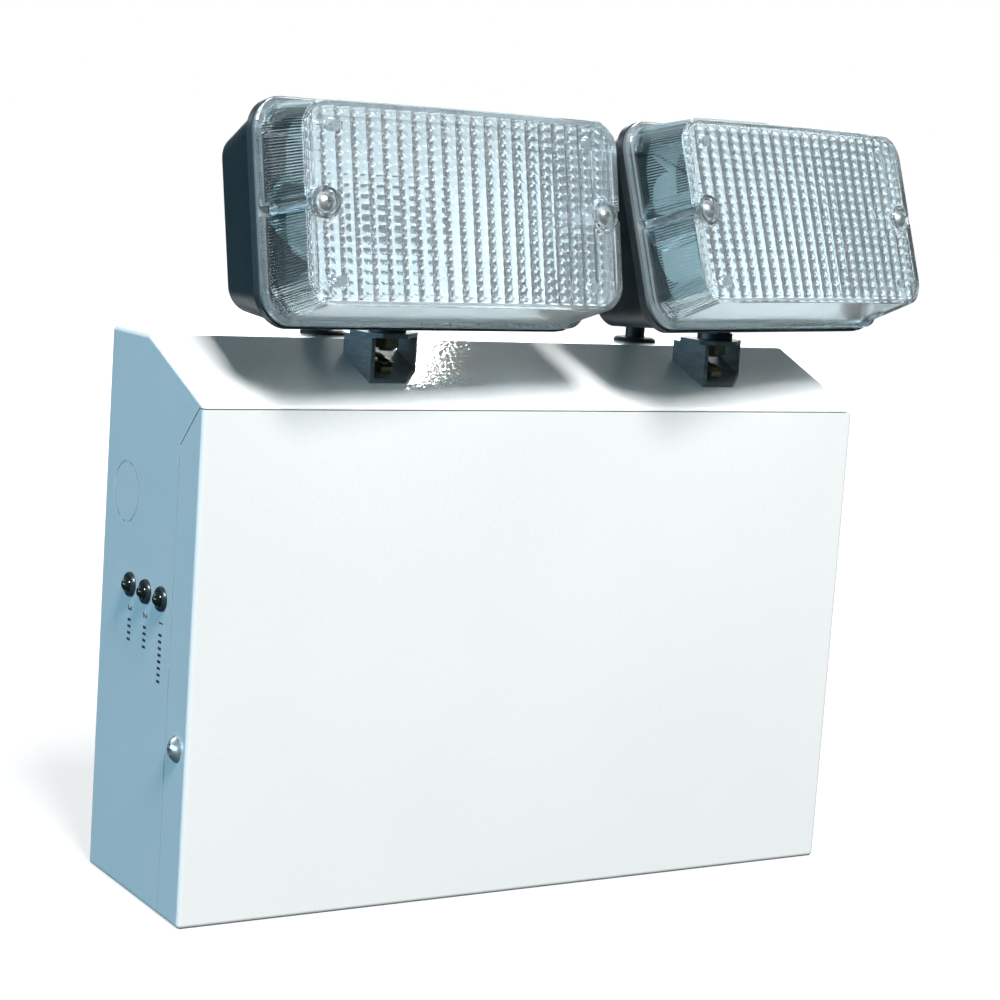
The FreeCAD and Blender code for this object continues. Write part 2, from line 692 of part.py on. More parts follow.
def housing():
    rim = plate(RIM_W, RIM_H, CORNER_R + 1.4, RIM_Y, BODY_Y)
    body = taper(BODY_W, BODY_H, CORNER_R, BODY_Y, BACK_W, BACK_H, CORNER_R - 1.5, BACK_Y)
    w = 2 * BODY_WALL
    inner = taper(BODY_W - w, BODY_H - w, CORNER_R - 2, BODY_Y, BACK_W - w, BACK_H - w, CORNER_R - 3.5,
                  BACK_Y - BODY_WALL)
    mouth = plate(BODY_W - w, BODY_H - w, CORNER_R - 2, RIM_Y - 1, BODY_Y)
    rebate = plate(REBATE_W + 2 * FIT, REBATE_H + 2 * FIT, CORNER_R - 1, RIM_Y - 1, RIM_Y + REBATE + FIT)
    solid = rim.fuse(body).cut(inner).cut(mouth).cut(rebate)
    room = lug_outer() + 6.4
    deep = EAR_R + 2.6
    under = box(-room - 2, room + 2, -deep - 3.4, BACK_Y, -20, EAR_R + 2.4)
    block = under.common(body)
    pocket = box(-room, room, -deep - 1.4, BACK_Y + 1, -30, EAR_R + 0.6)
    solid = solid.fuse(block).cut(pocket)
    extras = []
    for sx in (-1, 1):
        x0, x1 = sorted((sx * (EAR_W / 2 + EAR_GAP), sx * lug_outer()))
        lug = fused([rod(EAR_R, (x0, 0, 0), (x1, 0, 0)), box(x0, x1, -EAR_R, EAR_R, 0, EAR_R + 1)])
        extras.append(lug)
        extras.append(rod(POST_R, (sx * LENS_SCREW_X, RIM_Y + REBATE + FIT, HEAD_UP),
                          (sx * LENS_SCREW_X, BACK_Y - 1, HEAD_UP)).common(body.fuse(mouth)))
    solid = solid.fuse(extras)
    cuts = [rod(TILT_D / 2, (-30, 0, 0), (30, 0, 0)),
            rod(LEAD_R + LEAD_HOLE_GAP, (0, BACK_Y - BODY_WALL - 1, LEAD_UP), (0, BACK_Y + 2, LEAD_UP))]
    for x in boss_places():
        cuts.append(rod(LENS_SCREW_R, (x, RIM_Y - 1, HEAD_UP), (x, BACK_Y - 4, HEAD_UP)))
    return solid.cut(Part.makeCompound(cuts)).removeSplitter()


def bowl_shape(t):
    wires = [plate_wire(w + 2 * t, h + 2 * t, r + t, RIM_Y + deep) for deep, w, h, r in BOWL]
    return Part.makeLoft(wires, True, True)


def reflector():
    flange = plate(REBATE_W, REBATE_H, CORNER_R - 1, RIM_Y, RIM_Y + REBATE)
    outer = bowl_shape(BOWL_T)
    deep, w, h, r = BOWL[-1]
    floor = plate(w + 2 * BOWL_T, h + 2 * BOWL_T, r + BOWL_T, RIM_Y + deep, RIM_Y + deep + BOWL_T)
    deep, w, h, r = BOWL[0]
    mouth = plate(w, h, r, RIM_Y - 1, RIM_Y + deep)
    solid = flange.fuse([outer, floor]).cut(bowl_shape(0)).cut(mouth)
    holes = [rod(HOLDER_R, (0, HOLDER_FRONT, HEAD_UP), (0, 30, HEAD_UP))]
    for x in boss_places():
        holes.append(rod(BOSS_R + 0.3, (x, RIM_Y - 1, HEAD_UP), (x, RIM_Y + 6, HEAD_UP)))
    return solid.cut(Part.makeCompound(holes)).removeSplitter()


def bulb_holder():
    return rod(HOLDER_R, (0, HOLDER_FRONT, HEAD_UP), (0, BACK_Y - BODY_WALL, HEAD_UP))


def bulb():
    glass = rod(BULB_R, (0, BULB_TIP_Y + BULB_R, HEAD_UP), (0, HOLDER_FRONT, HEAD_UP))
    tip = Part.makeSphere(BULB_R, V(0, BULB_TIP_Y + BULB_R, HEAD_UP))
    return fused([glass, tip])


def boot():
    """The rubber sleeve that keeps the lead from bending sharply where it leaves the housing."""
    cone = Part.makeCone(BOOT_R[0], BOOT_R[1], BOOT_LONG, V(0, BACK_Y, LEAD_UP), V(0, 1, 0))
    return cone.cut(rod(LEAD_R + LEAD_HOLE_GAP, (0, BACK_Y - 1, LEAD_UP), (0, BACK_Y + 30, LEAD_UP)))


def lens_screws():
    r, high = LENS_SCREW_HEAD
    solids = []
    for x in boss_places():
        shank = rod(LENS_SCREW_R, (x, BOSS_SEAT, HEAD_UP), (x, BACK_Y - 4.5, HEAD_UP))
        solids.append(fused([shank, dome(r, high, (x, BOSS_SEAT, HEAD_UP), (0, -1, 0))]))
    return solids


# Setting a head in its place

def head_place(side):
    turn = FreeCAD.Rotation(V(0, 0, 1), HEAD_PAN[side])
    lean = FreeCAD.Rotation(V(1, 0, 0), -HEAD_TILT[side])
    return FreeCAD.Placement(V(HEAD_X[side], PIVOT_Y, AXIS_Z), turn.multiply(lean))


def placed(shapes, place):
    moved = []
    for s in shapes:
        copy = s.copy()
        copy.Placement = place.multiply(copy.Placement)
        moved.append(copy)
    return moved


# Leads: straight out of the head, round one bend, down through the grommet

def lead(side):
    place = head_place(side)
    start = place.multVec(V(0, BACK_Y - BODY_WALL, LEAD_UP))
    out = place.Rotation.multVec(V(0, 1, 0))
    level = V(out.x, out.y, 0)
    level.normalize()
    fall = math.asin(-out.z)
    gx, gy = grommet_place(side)
    reach = V(gx - start.x, gy - start.y, 0).dot(level)
    run = (reach + LEAD_BEND * math.sin(fall) - LEAD_BEND) / math.cos(fall)
    p1 = start + out * run
    side_on = level * -math.sin(fall) + V(0, 0, -math.cos(fall))
    centre = p1 + side_on * LEAD_BEND
    p2 = centre + level * LEAD_BEND
    half = (level - side_on)
    half.normalize()
    middle = centre + half * LEAD_BEND
    p3 = V(p2.x, p2.y, HEIGHT - SHEET - LEAD_TAIL)
    path = Part.Wire([Part.makeLine(start, p1), Part.Arc(p1, middle, p2).toShape(), Part.makeLine(p2, p3)])
    ring = Part.Wire([Part.makeCircle(LEAD_R, start, out)])
    return path.makePipeShell([ring], True, False)


def grommet(side):
    x, y = grommet_place(side)
    solid = fused([rod(GROMMET_R, (x, y, HEIGHT), (x, y, HEIGHT + GROMMET_T)),
                   rod(GROMMET_NECK, (x, y, HEIGHT - SHEET), (x, y, HEIGHT)),
                   rod(GROMMET_R, (x, y, HEIGHT - SHEET - GROMMET_T), (x, y, HEIGHT - SHEET))])
    return solid.cut(rod(LEAD_R, (x, y, HEIGHT - 20), (x, y, HEIGHT + 20)))


def build_cabinet():
    sheet = cabinet_sheet()
    save("back_box", [back_box(sheet)])
    save("front_cover", [front_cover(sheet)])
    save("cover_screws", cover_screws())
    save("led_holders", led_holders())
    save("leds", leds())
    save("battery", [battery()])
    save("battery_terminals", battery_terminals())
    save("battery_strap", [battery_strap()])
    save("strap_screws", strap_screws())
    save("charger_board", [charger_board()])
    save("board_posts", board_posts())
    save("relay", [on_board(-54, -34, -12, 4, 16)])
    save("capacitor", [capacitor()])
    save("fuse_holder", [fuse_holder()])
    save("terminal_block", [terminal_block()])
    save("transformer_core", [transformer_core()])
    save("transformer_coil", [transformer_coil()])


def build_head(side):
    save(side + "_bracket", [bracket(side)])
    save(side + "_base_bolt", [base_bolt(side)])
    save(side + "_base_nut", [base_nut(side)])
    save(side + "_rivet", [rivet(side)])
    save(side + "_grommet", [grommet(side)])
    save(side + "_lead", [lead(side)])
    save(side + "_pivot_stud", [pivot_stud(side)])
    save(side + "_pivot_nut", [pivot_nut(side)])
    save(side + "_swivel_foot", [swivel_foot(side)])
    place = head_place(side)
    pieces = {"tilt_bolt": [tilt_bolt()], "tilt_nut": [tilt_nut()], "housing": [housing()],
              "gasket": [gasket()], "reflector": [reflector()], "lens": [lens()],
              "lens_screws": lens_screws(), "bulb": [bulb()], "bulb_holder": [bulb_holder()],
              "boot": [boot()]}
    for name, solids in pieces.items():
        save(side + "_" + name, placed(solids, place))


os.makedirs("parts", exist_ok=True)
build_cabinet()
for head_side in HEAD_X:
    build_head(head_side)
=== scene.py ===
# %% [markdown]
# This lesson dresses a twin-head emergency light. The imported construction model is the fixed frame: every
# piece that is made here sits where the frame says, in metres, with the wall behind the cabinet at Y = 0
# and the front facing -Y. First comes the frame itself.

# %% Load the frame
import math

import bmesh
import bpy
from mathutils import Matrix, Vector


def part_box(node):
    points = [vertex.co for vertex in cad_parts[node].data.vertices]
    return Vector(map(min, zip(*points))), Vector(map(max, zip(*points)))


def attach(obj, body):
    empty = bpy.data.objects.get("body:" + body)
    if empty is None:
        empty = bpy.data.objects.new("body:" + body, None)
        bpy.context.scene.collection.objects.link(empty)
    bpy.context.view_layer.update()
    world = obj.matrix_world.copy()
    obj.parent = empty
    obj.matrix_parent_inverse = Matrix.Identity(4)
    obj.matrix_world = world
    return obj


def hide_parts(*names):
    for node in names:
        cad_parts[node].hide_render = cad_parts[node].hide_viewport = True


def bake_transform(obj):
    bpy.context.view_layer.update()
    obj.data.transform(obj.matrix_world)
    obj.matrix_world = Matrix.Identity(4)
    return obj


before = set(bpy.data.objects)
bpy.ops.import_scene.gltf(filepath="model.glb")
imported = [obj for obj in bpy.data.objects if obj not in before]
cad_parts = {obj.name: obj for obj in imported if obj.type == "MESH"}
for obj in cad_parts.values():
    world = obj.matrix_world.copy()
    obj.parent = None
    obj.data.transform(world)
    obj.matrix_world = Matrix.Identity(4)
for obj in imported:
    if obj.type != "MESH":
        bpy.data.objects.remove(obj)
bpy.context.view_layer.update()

MM = 0.001

# %% [markdown]
# The camera comes first, because every later step is judged through it. The photograph is taken from the
# left and slightly above, with a long lens about 0.9 m away and a little roll. The lens is worked out
# from the size of the cabinet in the picture, so that the perspective is the same, and there is no shift.

# %% Camera
CAMERA_PLACE = (-0.4390, -0.7572, 0.1581)
CAMERA_ANGLES = (81.825, -3.920, -31.101)
CAMERA_LENS = 86.15

camera_data = bpy.data.cameras.new("photo_camera")
camera_data.lens = CAMERA_LENS
camera_data.sensor_width = 36.0
camera = bpy.data.objects.new("photo_camera", camera_data)
camera.location = CAMERA_PLACE
camera.rotation_euler = [math.radians(a) for a in CAMERA_ANGLES]
bpy.context.scene.collection.objects.link(camera)
bpy.context.scene.camera = camera
print("camera at", CAMERA_PLACE, "lens", CAMERA_LENS, "mm")

# %% [markdown]
# The cabinet stands on a plain pale floor. A floor in even light would end in a visible line against the
# white backdrop, so this one glows a little more with distance and runs into it.

# %% Floor
FLOOR_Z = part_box("back_box")[0].z
FLOOR_SIZE = 12.0
FLOOR_GLOW = (0.72, 1.0)


def pale_floor():
    bm = bmesh.new()
    bmesh.ops.create_grid(bm, x_segments=1, y_segments=1, size=FLOOR_SIZE / 2)
    bmesh.ops.translate(bm, vec=(0, 0, FLOOR_Z), verts=bm.verts)
    mesh = bpy.data.meshes.new("floor")
    bm.to_mesh(mesh)
    bm.free()
    floor = bpy.data.objects.new("floor", mesh)
    bpy.context.scene.collection.objects.link(floor)
    paint = bpy.data.materials.new("floor_paper")
    paint.use_nodes = True
    nodes, links = paint.node_tree.nodes, paint.node_tree.links
    shader = nodes["Principled BSDF"]
    shader.inputs["Base Color"].default_value = (0.30, 0.305, 0.31, 1)
    shader.inputs["Roughness"].default_value = 0.9
    shader.inputs["Specular IOR Level"].default_value = 0.0
    shader.inputs["Emission Color"].default_value = (1, 1, 1, 1)
    spot = nodes.new("ShaderNodeTexCoord")
    away = nodes.new("ShaderNodeVectorMath")
    away.operation = "LENGTH"
    glow = nodes.new("ShaderNodeMapRange")
    glow.inputs["From Min"].default_value = 0.1
    glow.inputs["From Max"].default_value = 1.0
    glow.inputs["To Min"].default_value = FLOOR_GLOW[0]
    glow.inputs["To Max"].default_value = FLOOR_GLOW[1]
    links.new(spot.outputs["Object"], away.inputs[0])
    links.new(away.outputs["Value"], glow.inputs["Value"])
    links.new(glow.outputs["Result"], shader.inputs["Emission Strength"])
    mesh.materials.append(paint)
    floor.visible_diffuse = False
    floor.visible_glossy = False
    return floor


pale_floor()
print("floor at", round(FLOOR_Z, 4))

# %% [markdown]
# The light is a soft window high in front, which throws the shadow of the heads onto the slope, and a
# cool panel on the left that gives the side its bluish shade. A small lamp behind is mirrored by the
# glossy slope beside the left bracket, a card behind puts glints on the ribs of the lenses, and a second
# window lights the back. The camera sees a plain white backdrop. For everything else the room is dim, but
# light that reaches the bowls through the clear lenses finds a bright patch of sky, as by a window.

# %% Light of the room
ROOM_COLOUR = (0.24, 0.50, 0.54, 1)
ROOM_STRENGTH = 0.15
GLOW_COLOUR = (0.66, 0.85, 0.93, 1)
GLOW_STRENGTH = (0.12, 3.9)
GLOW_FROM = Vector((-0.1, -0.55, 0.83))
GLOW_EDGE = 0.5
BACKDROP = (1, 1, 1, 1)


def grey_room():
    world = bpy.data.worlds.new("grey_room")
    bpy.context.scene.world = world
    world.use_nodes = True
    nodes, links = world.node_tree.nodes, world.node_tree.links
    nodes.clear()
    out = nodes.new("ShaderNodeOutputWorld")
    mix = nodes.new("ShaderNodeMixShader")
    path = nodes.new("ShaderNodeLightPath")
    room = nodes.new("ShaderNodeBackground")
    room.inputs["Color"].default_value = ROOM_COLOUR
    room.inputs["Strength"].default_value = ROOM_STRENGTH
    inside = nodes.new("ShaderNodeBackground")
    inside.inputs["Color"].default_value = GLOW_COLOUR
    spot = nodes.new("ShaderNodeTexCoord")
    to_window = nodes.new("ShaderNodeVectorMath")
    to_window.operation = "DOT_PRODUCT"
    to_window.inputs[1].default_value = GLOW_FROM
    glow = nodes.new("ShaderNodeMapRange")
    glow.inputs["From Min"].default_value = GLOW_EDGE
    glow.inputs["From Max"].default_value = 1.0
    glow.inputs["To Min"].default_value, glow.inputs["To Max"].default_value = GLOW_STRENGTH
    links.new(spot.outputs["Generated"], to_window.inputs[0])
    links.new(to_window.outputs["Value"], glow.inputs["Value"])
    links.new(glow.outputs["Result"], inside.inputs["Strength"])
    behind_lens = nodes.new("ShaderNodeMixShader")
    backdrop = nodes.new("ShaderNodeBackground")
    backdrop.inputs["Color"].default_value = BACKDROP
    links.new(path.outputs["Is Transmission Ray"], behind_lens.inputs["Fac"])
    links.new(room.outputs[0], behind_lens.inputs[1])
    links.new(inside.outputs[0], behind_lens.inputs[2])
    links.new(path.outputs["Is Camera Ray"], mix.inputs["Fac"])
    links.new(behind_lens.outputs[0], mix.inputs[1])
    links.new(backdrop.outputs[0], mix.inputs[2])
    links.new(mix.outputs[0], out.inputs["Surface"])


grey_room()
print("room light", ROOM_STRENGTH, "and up to", GLOW_STRENGTH[1], "through the lenses")

# %% Where the lamps stand
WINDOW_PLACE = (-0.45, -3.15, 3.6)
PANEL_PLACE = (-2.2, 0.3, 0.15)
CARD_PLACE = (-1.15, 1.4, 1.05)
BACK_PLACE = (1.5, 2.2, 0.8)
CABINET_MIDDLE = (0, 0, 0.02)
HEADS_MIDDLE = (0, -0.08, 0.13)
SLOPE_LAMP_AWAY = 0.9
SLOPE_SPOT = Vector((-0.0560, -0.0660, 0.0794))
SLOPE_TILT = math.radians(21.8)
UP_SLOPE = Vector((0, -math.sin(SLOPE_TILT), math.cos(SLOPE_TILT)))


def mirrored_lamp(spot, distance):
    """A place for a lamp that the slope mirrors to the camera at one spot."""
    from_camera = (spot - camera.location).normalized()
    return spot + from_camera.reflect(UP_SLOPE) * distance


SLOPE_LAMP_PLACE = mirrored_lamp(SLOPE_SPOT, SLOPE_LAMP_AWAY)
print("slope lamp at", [round(c, 3) for c in SLOPE_LAMP_PLACE])


# %% Lamps
def window_light(name, place, target, size, watts, colour):
    data = bpy.data.lights.new(name, "AREA")
    data.shape = "RECTANGLE"
    data.size, data.size_y = size
    data.energy = watts
    data.color = colour
    lamp = bpy.data.objects.new(name, data)
    lamp.location = place
    lamp.rotation_euler = (Vector(target) - Vector(place)).to_track_quat("-Z", "Y").to_euler()
    bpy.context.scene.collection.objects.link(lamp)
    return lamp


window_light("front_window", WINDOW_PLACE, CABINET_MIDDLE, size=(1.05, 1.6), watts=366,
             colour=(1.0, 0.985, 0.965))
window_light("left_panel", PANEL_PLACE, CABINET_MIDDLE, size=(2.0, 0.45), watts=27, colour=(0.41, 0.75, 1.0))
slope_lamp = window_light("slope_lamp", SLOPE_LAMP_PLACE, SLOPE_SPOT, size=(0.022, 0.110), watts=0.6,
                          colour=(1.0, 1.0, 0.95))
back_card = window_light("back_card", CARD_PLACE, HEADS_MIDDLE, size=(0.9, 0.9), watts=7,
                         colour=(0.85, 0.95, 1.0))
back_window = window_light("back_window", BACK_PLACE, (0, 0, 0), size=(2.2, 1.5), watts=46,
                           colour=(0.95, 0.98, 1.0))
back_window.visible_transmission = back_window.visible_camera = False
for lamp in (slope_lamp, back_card):
    lamp.visible_diffuse = lamp.visible_transmission = lamp.visible_camera = False
bpy.context.scene.view_settings.view_transform = "Standard"
bpy.context.scene.view_settings.look = "None"
print("two windows, a panel, a card and a lamp in a grey room")

# %% [markdown]
# Every finish is a Principled shader with a little pattern on Object coordinates. Four small helpers
# build all of them: grain makes a noise at a real scale, and tint, dull and relief let that noise change
# the colour, the roughness and the bump. The scale is in lumps per metre, so 800 means lumps a bit over a
# millimetre across. An image would have to be unwrapped onto each piece, and a noise in space needs none
# of that.

# %% Helpers for finishes
def finish(name, colour, rough, metal=0.0):
    paint = bpy.data.materials.new(name)
    paint.use_nodes = True
    shader = paint.node_tree.nodes["Principled BSDF"]
    shader.inputs["Base Color"].default_value = (*colour, 1)
    shader.inputs["Roughness"].default_value = rough
    shader.inputs["Metallic"].default_value = metal
    return paint


def shader_of(paint):
    return paint.node_tree.nodes["Principled BSDF"]


def grain(paint, scale, detail=2.0, stretch=(1, 1, 1)):
    nodes, links = paint.node_tree.nodes, paint.node_tree.links
    spot = nodes.new("ShaderNodeTexCoord")
    mapping = nodes.new("ShaderNodeMapping")
    mapping.inputs["Scale"].default_value = stretch
    noise = nodes.new("ShaderNodeTexNoise")
    noise.inputs["Scale"].default_value = scale
    noise.inputs["Detail"].default_value = detail
    links.new(spot.outputs["Object"], mapping.inputs["Vector"])
    links.new(mapping.outputs["Vector"], noise.inputs["Vector"])
    return noise.outputs["Fac"]


def tint(paint, pattern, dark, light):
    nodes, links = paint.node_tree.nodes, paint.node_tree.links
    ramp = nodes.new("ShaderNodeValToRGB")
    ramp.color_ramp.elements[0].position = 0.3
    ramp.color_ramp.elements[0].color = (*dark, 1)
    ramp.color_ramp.elements[1].position = 0.7
    ramp.color_ramp.elements[1].color = (*light, 1)
    links.new(pattern, ramp.inputs["Fac"])
    links.new(ramp.outputs["Color"], shader_of(paint).inputs["Base Color"])


def dull(paint, pattern, low, high):
    nodes, links = paint.node_tree.nodes, paint.node_tree.links
    spread = nodes.new("ShaderNodeMapRange")
    spread.inputs["From Min"].default_value = 0.3
    spread.inputs["From Max"].default_value = 0.7
    spread.inputs["To Min"].default_value = low
    spread.inputs["To Max"].default_value = high
    links.new(pattern, spread.inputs["Value"])
    links.new(spread.outputs["Result"], shader_of(paint).inputs["Roughness"])


def relief(paint, pattern, depth, strength=1.0):
    nodes, links = paint.node_tree.nodes, paint.node_tree.links
    bump = nodes.new("ShaderNodeBump")
    bump.inputs["Distance"].default_value = depth
    bump.inputs["Strength"].default_value = strength
    links.new(pattern, bump.inputs["Height"])
    links.new(bump.outputs["Normal"], shader_of(paint).inputs["Normal"])
    return bump.outputs["Normal"]


# %% [markdown]
# The cabinet is folded steel with a glossy white powder coat. Powder melts into a skin with shallow
# dimples, the orange peel, which is what makes the highlight on the slope look crinkled. A coarse noise
# changes the white by a few parts in a hundred, and a noise of about two millimetres dents the surface.
# Such dents are too many to model, so they are a bump.

# %% White powder coat
def white_powder_coat():
    paint = finish("white_powder_coat", (0.84, 0.86, 0.87), 0.4)
    tint(paint, grain(paint, 9.0, 3.0), (0.82, 0.845, 0.855), (0.86, 0.875, 0.88))
    dull(paint, grain(paint, 60.0, 2.0), 0.34, 0.46)
    crinkle = relief(paint, grain(paint, 520.0, 1.5), 0.00010, 0.55)
    shader = shader_of(paint)
    shader.inputs["Specular IOR Level"].default_value = 0.15
    shader.inputs["Coat Weight"].default_value = 0.7
    shader.inputs["Coat Roughness"].default_value = 0.06
    paint.node_tree.links.new(crinkle, shader.inputs["Coat Normal"])
    return paint


WHITE_COAT = white_powder_coat()
print("white powder coat mixed")

# %% [markdown]
# The plastics: the lamp housings and the indicator clips are black with a fine moulded grain, the lens is
# clear with the faintest blue, and the inner pieces have their own plain colours. Clear plastic is a
# Principled shader with transmission, so the flutes of the lens really bend what lies behind them. The
# lens has two more finishes: a frosted one for its top and bottom walls, and a darker tinted copy of the
# clear one for the ribbed side walls, which is painted shade on them.

# %% Recipes for plastics
def black_moulding(name, rough):
    paint = finish(name, (0.014, 0.018, 0.024), rough)
    tint(paint, grain(paint, 40.0, 3.0), (0.021, 0.029, 0.036), (0.026, 0.035, 0.043))
    dull(paint, grain(paint, 300.0, 2.0), rough - 0.03, rough + 0.04)
    relief(paint, grain(paint, 2600.0, 1.0), 0.00003, 0.35)
    return paint


def clear_plastic(name, colour, rough):
    paint = finish(name, colour, rough)
    shader = shader_of(paint)
    shader.inputs["Transmission Weight"].default_value = 1.0
    shader.inputs["IOR"].default_value = 1.49
    relief(paint, grain(paint, 180.0, 1.0), 0.00004, 0.25)
    return paint


def coloured_plastic(name, dark, light, rough):
    paint = finish(name, light, rough)
    tint(paint, grain(paint, 70.0, 3.0), dark, light)
    dull(paint, grain(paint, 260.0, 2.0), rough - 0.05, rough + 0.08)
    relief(paint, grain(paint, 1800.0, 1.0), 0.00003, 0.3)
    return paint


# %% Plastics and rubber
HOUSING_BLACK = black_moulding("housing_black", 0.36)
CLIP_BLACK = black_moulding("clip_black", 0.28)
LENS_CLEAR = clear_plastic("lens_clear", (0.930, 0.970, 0.990), 0.03)
shader_of(LENS_CLEAR).inputs["Transmission Weight"].default_value = 0.94
LENS_FROST = clear_plastic("lens_frost", (0.97, 0.985, 0.98), 0.45)
shader_of(LENS_FROST).inputs["Transmission Weight"].default_value = 0.8
shader_of(LENS_FROST).inputs["IOR"].default_value = 1.02
# A darker tinted copy of the clear lens: painted shade for the ribbed side walls.
LENS_WALL_SHADE = clear_plastic("lens_wall_painted_shade", (0.34, 0.46, 0.49), 0.03)
BULB_CLEAR = clear_plastic("bulb_clear", (0.97, 0.98, 0.98), 0.0)
LAMP_DARK = coloured_plastic("lamp_dark", (0.006, 0.010, 0.008), (0.012, 0.018, 0.015), 0.12)
SEAL_GREY = coloured_plastic("seal_grey", (0.20, 0.23, 0.245), (0.27, 0.30, 0.315), 0.55)
LEAD_BLACK = coloured_plastic("lead_black", (0.010, 0.011, 0.013), (0.020, 0.022, 0.025), 0.48)
BATTERY_GREY = coloured_plastic("battery_grey", (0.030, 0.032, 0.036), (0.045, 0.048, 0.053), 0.5)
BLOCK_WHITE = coloured_plastic("block_white", (0.70, 0.69, 0.65), (0.78, 0.77, 0.73), 0.45)
BOARD_GREEN = coloured_plastic("board_green", (0.015, 0.095, 0.045), (0.022, 0.135, 0.062), 0.4)
INK_BLACK = coloured_plastic("ink_black", (0.012, 0.012, 0.014), (0.030, 0.030, 0.034), 0.6)
print("plastics mixed")

# %% [markdown]
# The metals: dark bracket steel, yellow passivated zinc on the nuts and bolts, bright chrome on the screws
# and a mirror film on the reflectors. One recipe serves them all. A noise that is squeezed along one axis
# gives the rolled bracket its streaks, the core its stacked sheets and the coil its turns.

# %% Metals
def metal(name, dark, light, rough, streak=(1, 1, 1), scale=160.0):
    paint = finish(name, light, rough, 1.0)
    tint(paint, grain(paint, scale, 4.0, streak), dark, light)
    dull(paint, grain(paint, scale * 2, 3.0, streak), rough - 0.05, rough + 0.09)
    relief(paint, grain(paint, scale * 6, 2.0, streak), 0.00002, 0.3)
    return paint


BRACKET_STEEL = metal("bracket_steel", (0.15, 0.17, 0.18), (0.24, 0.26, 0.27), 0.42, (1, 1, 6))
shader_of(BRACKET_STEEL).inputs["Metallic"].default_value = 0.4
YELLOW_ZINC = metal("yellow_zinc", (0.19, 0.175, 0.10), (0.29, 0.265, 0.17), 0.42)
BRIGHT_CHROME = metal("bright_chrome", (0.62, 0.64, 0.66), (0.78, 0.80, 0.82), 0.27)
shader_of(BRIGHT_CHROME).inputs["Metallic"].default_value = 0.8
MIRROR_FILM = metal("mirror_film", (0.80, 0.82, 0.83), (0.88, 0.89, 0.90), 0.42, scale=90.0)
shader_of(MIRROR_FILM).inputs["Metallic"].default_value = 0.15
CORE_STEEL = metal("core_steel", (0.20, 0.19, 0.18), (0.30, 0.29, 0.27), 0.45, (1, 30, 1))
COIL_COPPER = metal("coil_copper", (0.42, 0.16, 0.07), (0.58, 0.24, 0.11), 0.35, (1, 1, 25))
print("metals mixed")

# %% [markdown]
# Most construction pieces already have the right shape, so they only need a finish. Their meshes stay as
# they are: the finish goes into the material slots. The pieces that get a finer shape are replaced in the
# later steps.

# %% Dress the construction pieces
CABINET_FINISHES = {
    "back_box": WHITE_COAT, "front_cover": WHITE_COAT, "cover_screws": BRIGHT_CHROME,
    "led_holders": CLIP_BLACK, "leds": LAMP_DARK, "battery": BATTERY_GREY,
    "battery_terminals": YELLOW_ZINC, "battery_strap": YELLOW_ZINC, "strap_screws": YELLOW_ZINC,
    "charger_board": BOARD_GREEN, "board_posts": BLOCK_WHITE, "relay": BLOCK_WHITE,
    "capacitor": BATTERY_GREY, "fuse_holder": CLIP_BLACK, "terminal_block": BLOCK_WHITE,
    "transformer_core": CORE_STEEL, "transformer_coil": COIL_COPPER,
}
HEAD_FINISHES = {
    "bracket": BRACKET_STEEL, "base_bolt": YELLOW_ZINC, "base_nut": YELLOW_ZINC, "rivet": BRACKET_STEEL,
    "grommet": LEAD_BLACK, "lead": LEAD_BLACK, "pivot_stud": YELLOW_ZINC, "pivot_nut": YELLOW_ZINC,
    "swivel_foot": HOUSING_BLACK, "tilt_bolt": YELLOW_ZINC, "tilt_nut": YELLOW_ZINC,
    "housing": HOUSING_BLACK, "gasket": SEAL_GREY, "reflector": MIRROR_FILM, "lens": LENS_CLEAR,
    "lens_screws": BRIGHT_CHROME, "bulb": BULB_CLEAR, "bulb_holder": CLIP_BLACK, "boot": LEAD_BLACK,
}
SIDES = ("left", "right")


def dress(node, paint):
    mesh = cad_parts[node].data
    mesh.materials.clear()
    mesh.materials.append(paint)


for node, paint in CABINET_FINISHES.items():
    dress(node, paint)
for side in SIDES:
    for part, paint in HEAD_FINISHES.items():
        dress(f"{side}_{part}", paint)
print("dressed", len(CABINET_FINISHES) + 2 * len(HEAD_FINISHES), "construction pieces")

# %% [markdown]
# Each head is modelled upright about its tilt axis, with its middle a little above, and is then turned
# into place by one matrix. The matrix follows the construction: a turn about the upright stud, then a nod
# about the cross bolt. The helpers below keep a finished piece: its place goes into the mesh, and it
# rides on its body.

# %% Where the heads stand
HEAD_X = {"left": -53.0 * MM, "right": 83.0 * MM}
HEAD_PAN = {"left": 7.5, "right": 15.5}
HEAD_TILT = {"left": 10.5, "right": 17.0}
PIVOT_Y = -52.0 * MM
AXIS_Z = 105.0 * MM
HEAD_UP = 27.5 * MM


def head_place(side):
    stand = Matrix.Translation((HEAD_X[side], PIVOT_Y, AXIS_Z))
    turn = Matrix.Rotation(math.radians(HEAD_PAN[side]), 4, "Z")
    nod = Matrix.Rotation(math.radians(-HEAD_TILT[side]), 4, "X")
    return stand @ turn @ nod


for side in SIDES:
    print(side, "head faces", [round(c, 3) for c in head_place(side).to_3x3() @ Vector((0, -1, 0))])


# %% Helpers for pieces
def keep_piece(bm, name, paint, body, stands_for=(), crease=35.0, more=()):
    mesh = bpy.data.meshes.new(name)
    bm.to_mesh(mesh)
    bm.free()
    mesh.shade_smooth()
    mesh.set_sharp_from_angle(angle=math.radians(crease))
    for edge in mesh.edges:
        edge.use_edge_sharp = edge.use_edge_sharp or edge.use_seam
    for layer in (paint, *more):
        mesh.materials.append(layer)
    piece = bpy.data.objects.new(name, mesh)
    bpy.context.scene.collection.objects.link(piece)
    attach(piece, body)
    if stands_for:
        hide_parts(*stands_for)
    print(name, len(mesh.polygons), "faces, rides on", body)
    return piece


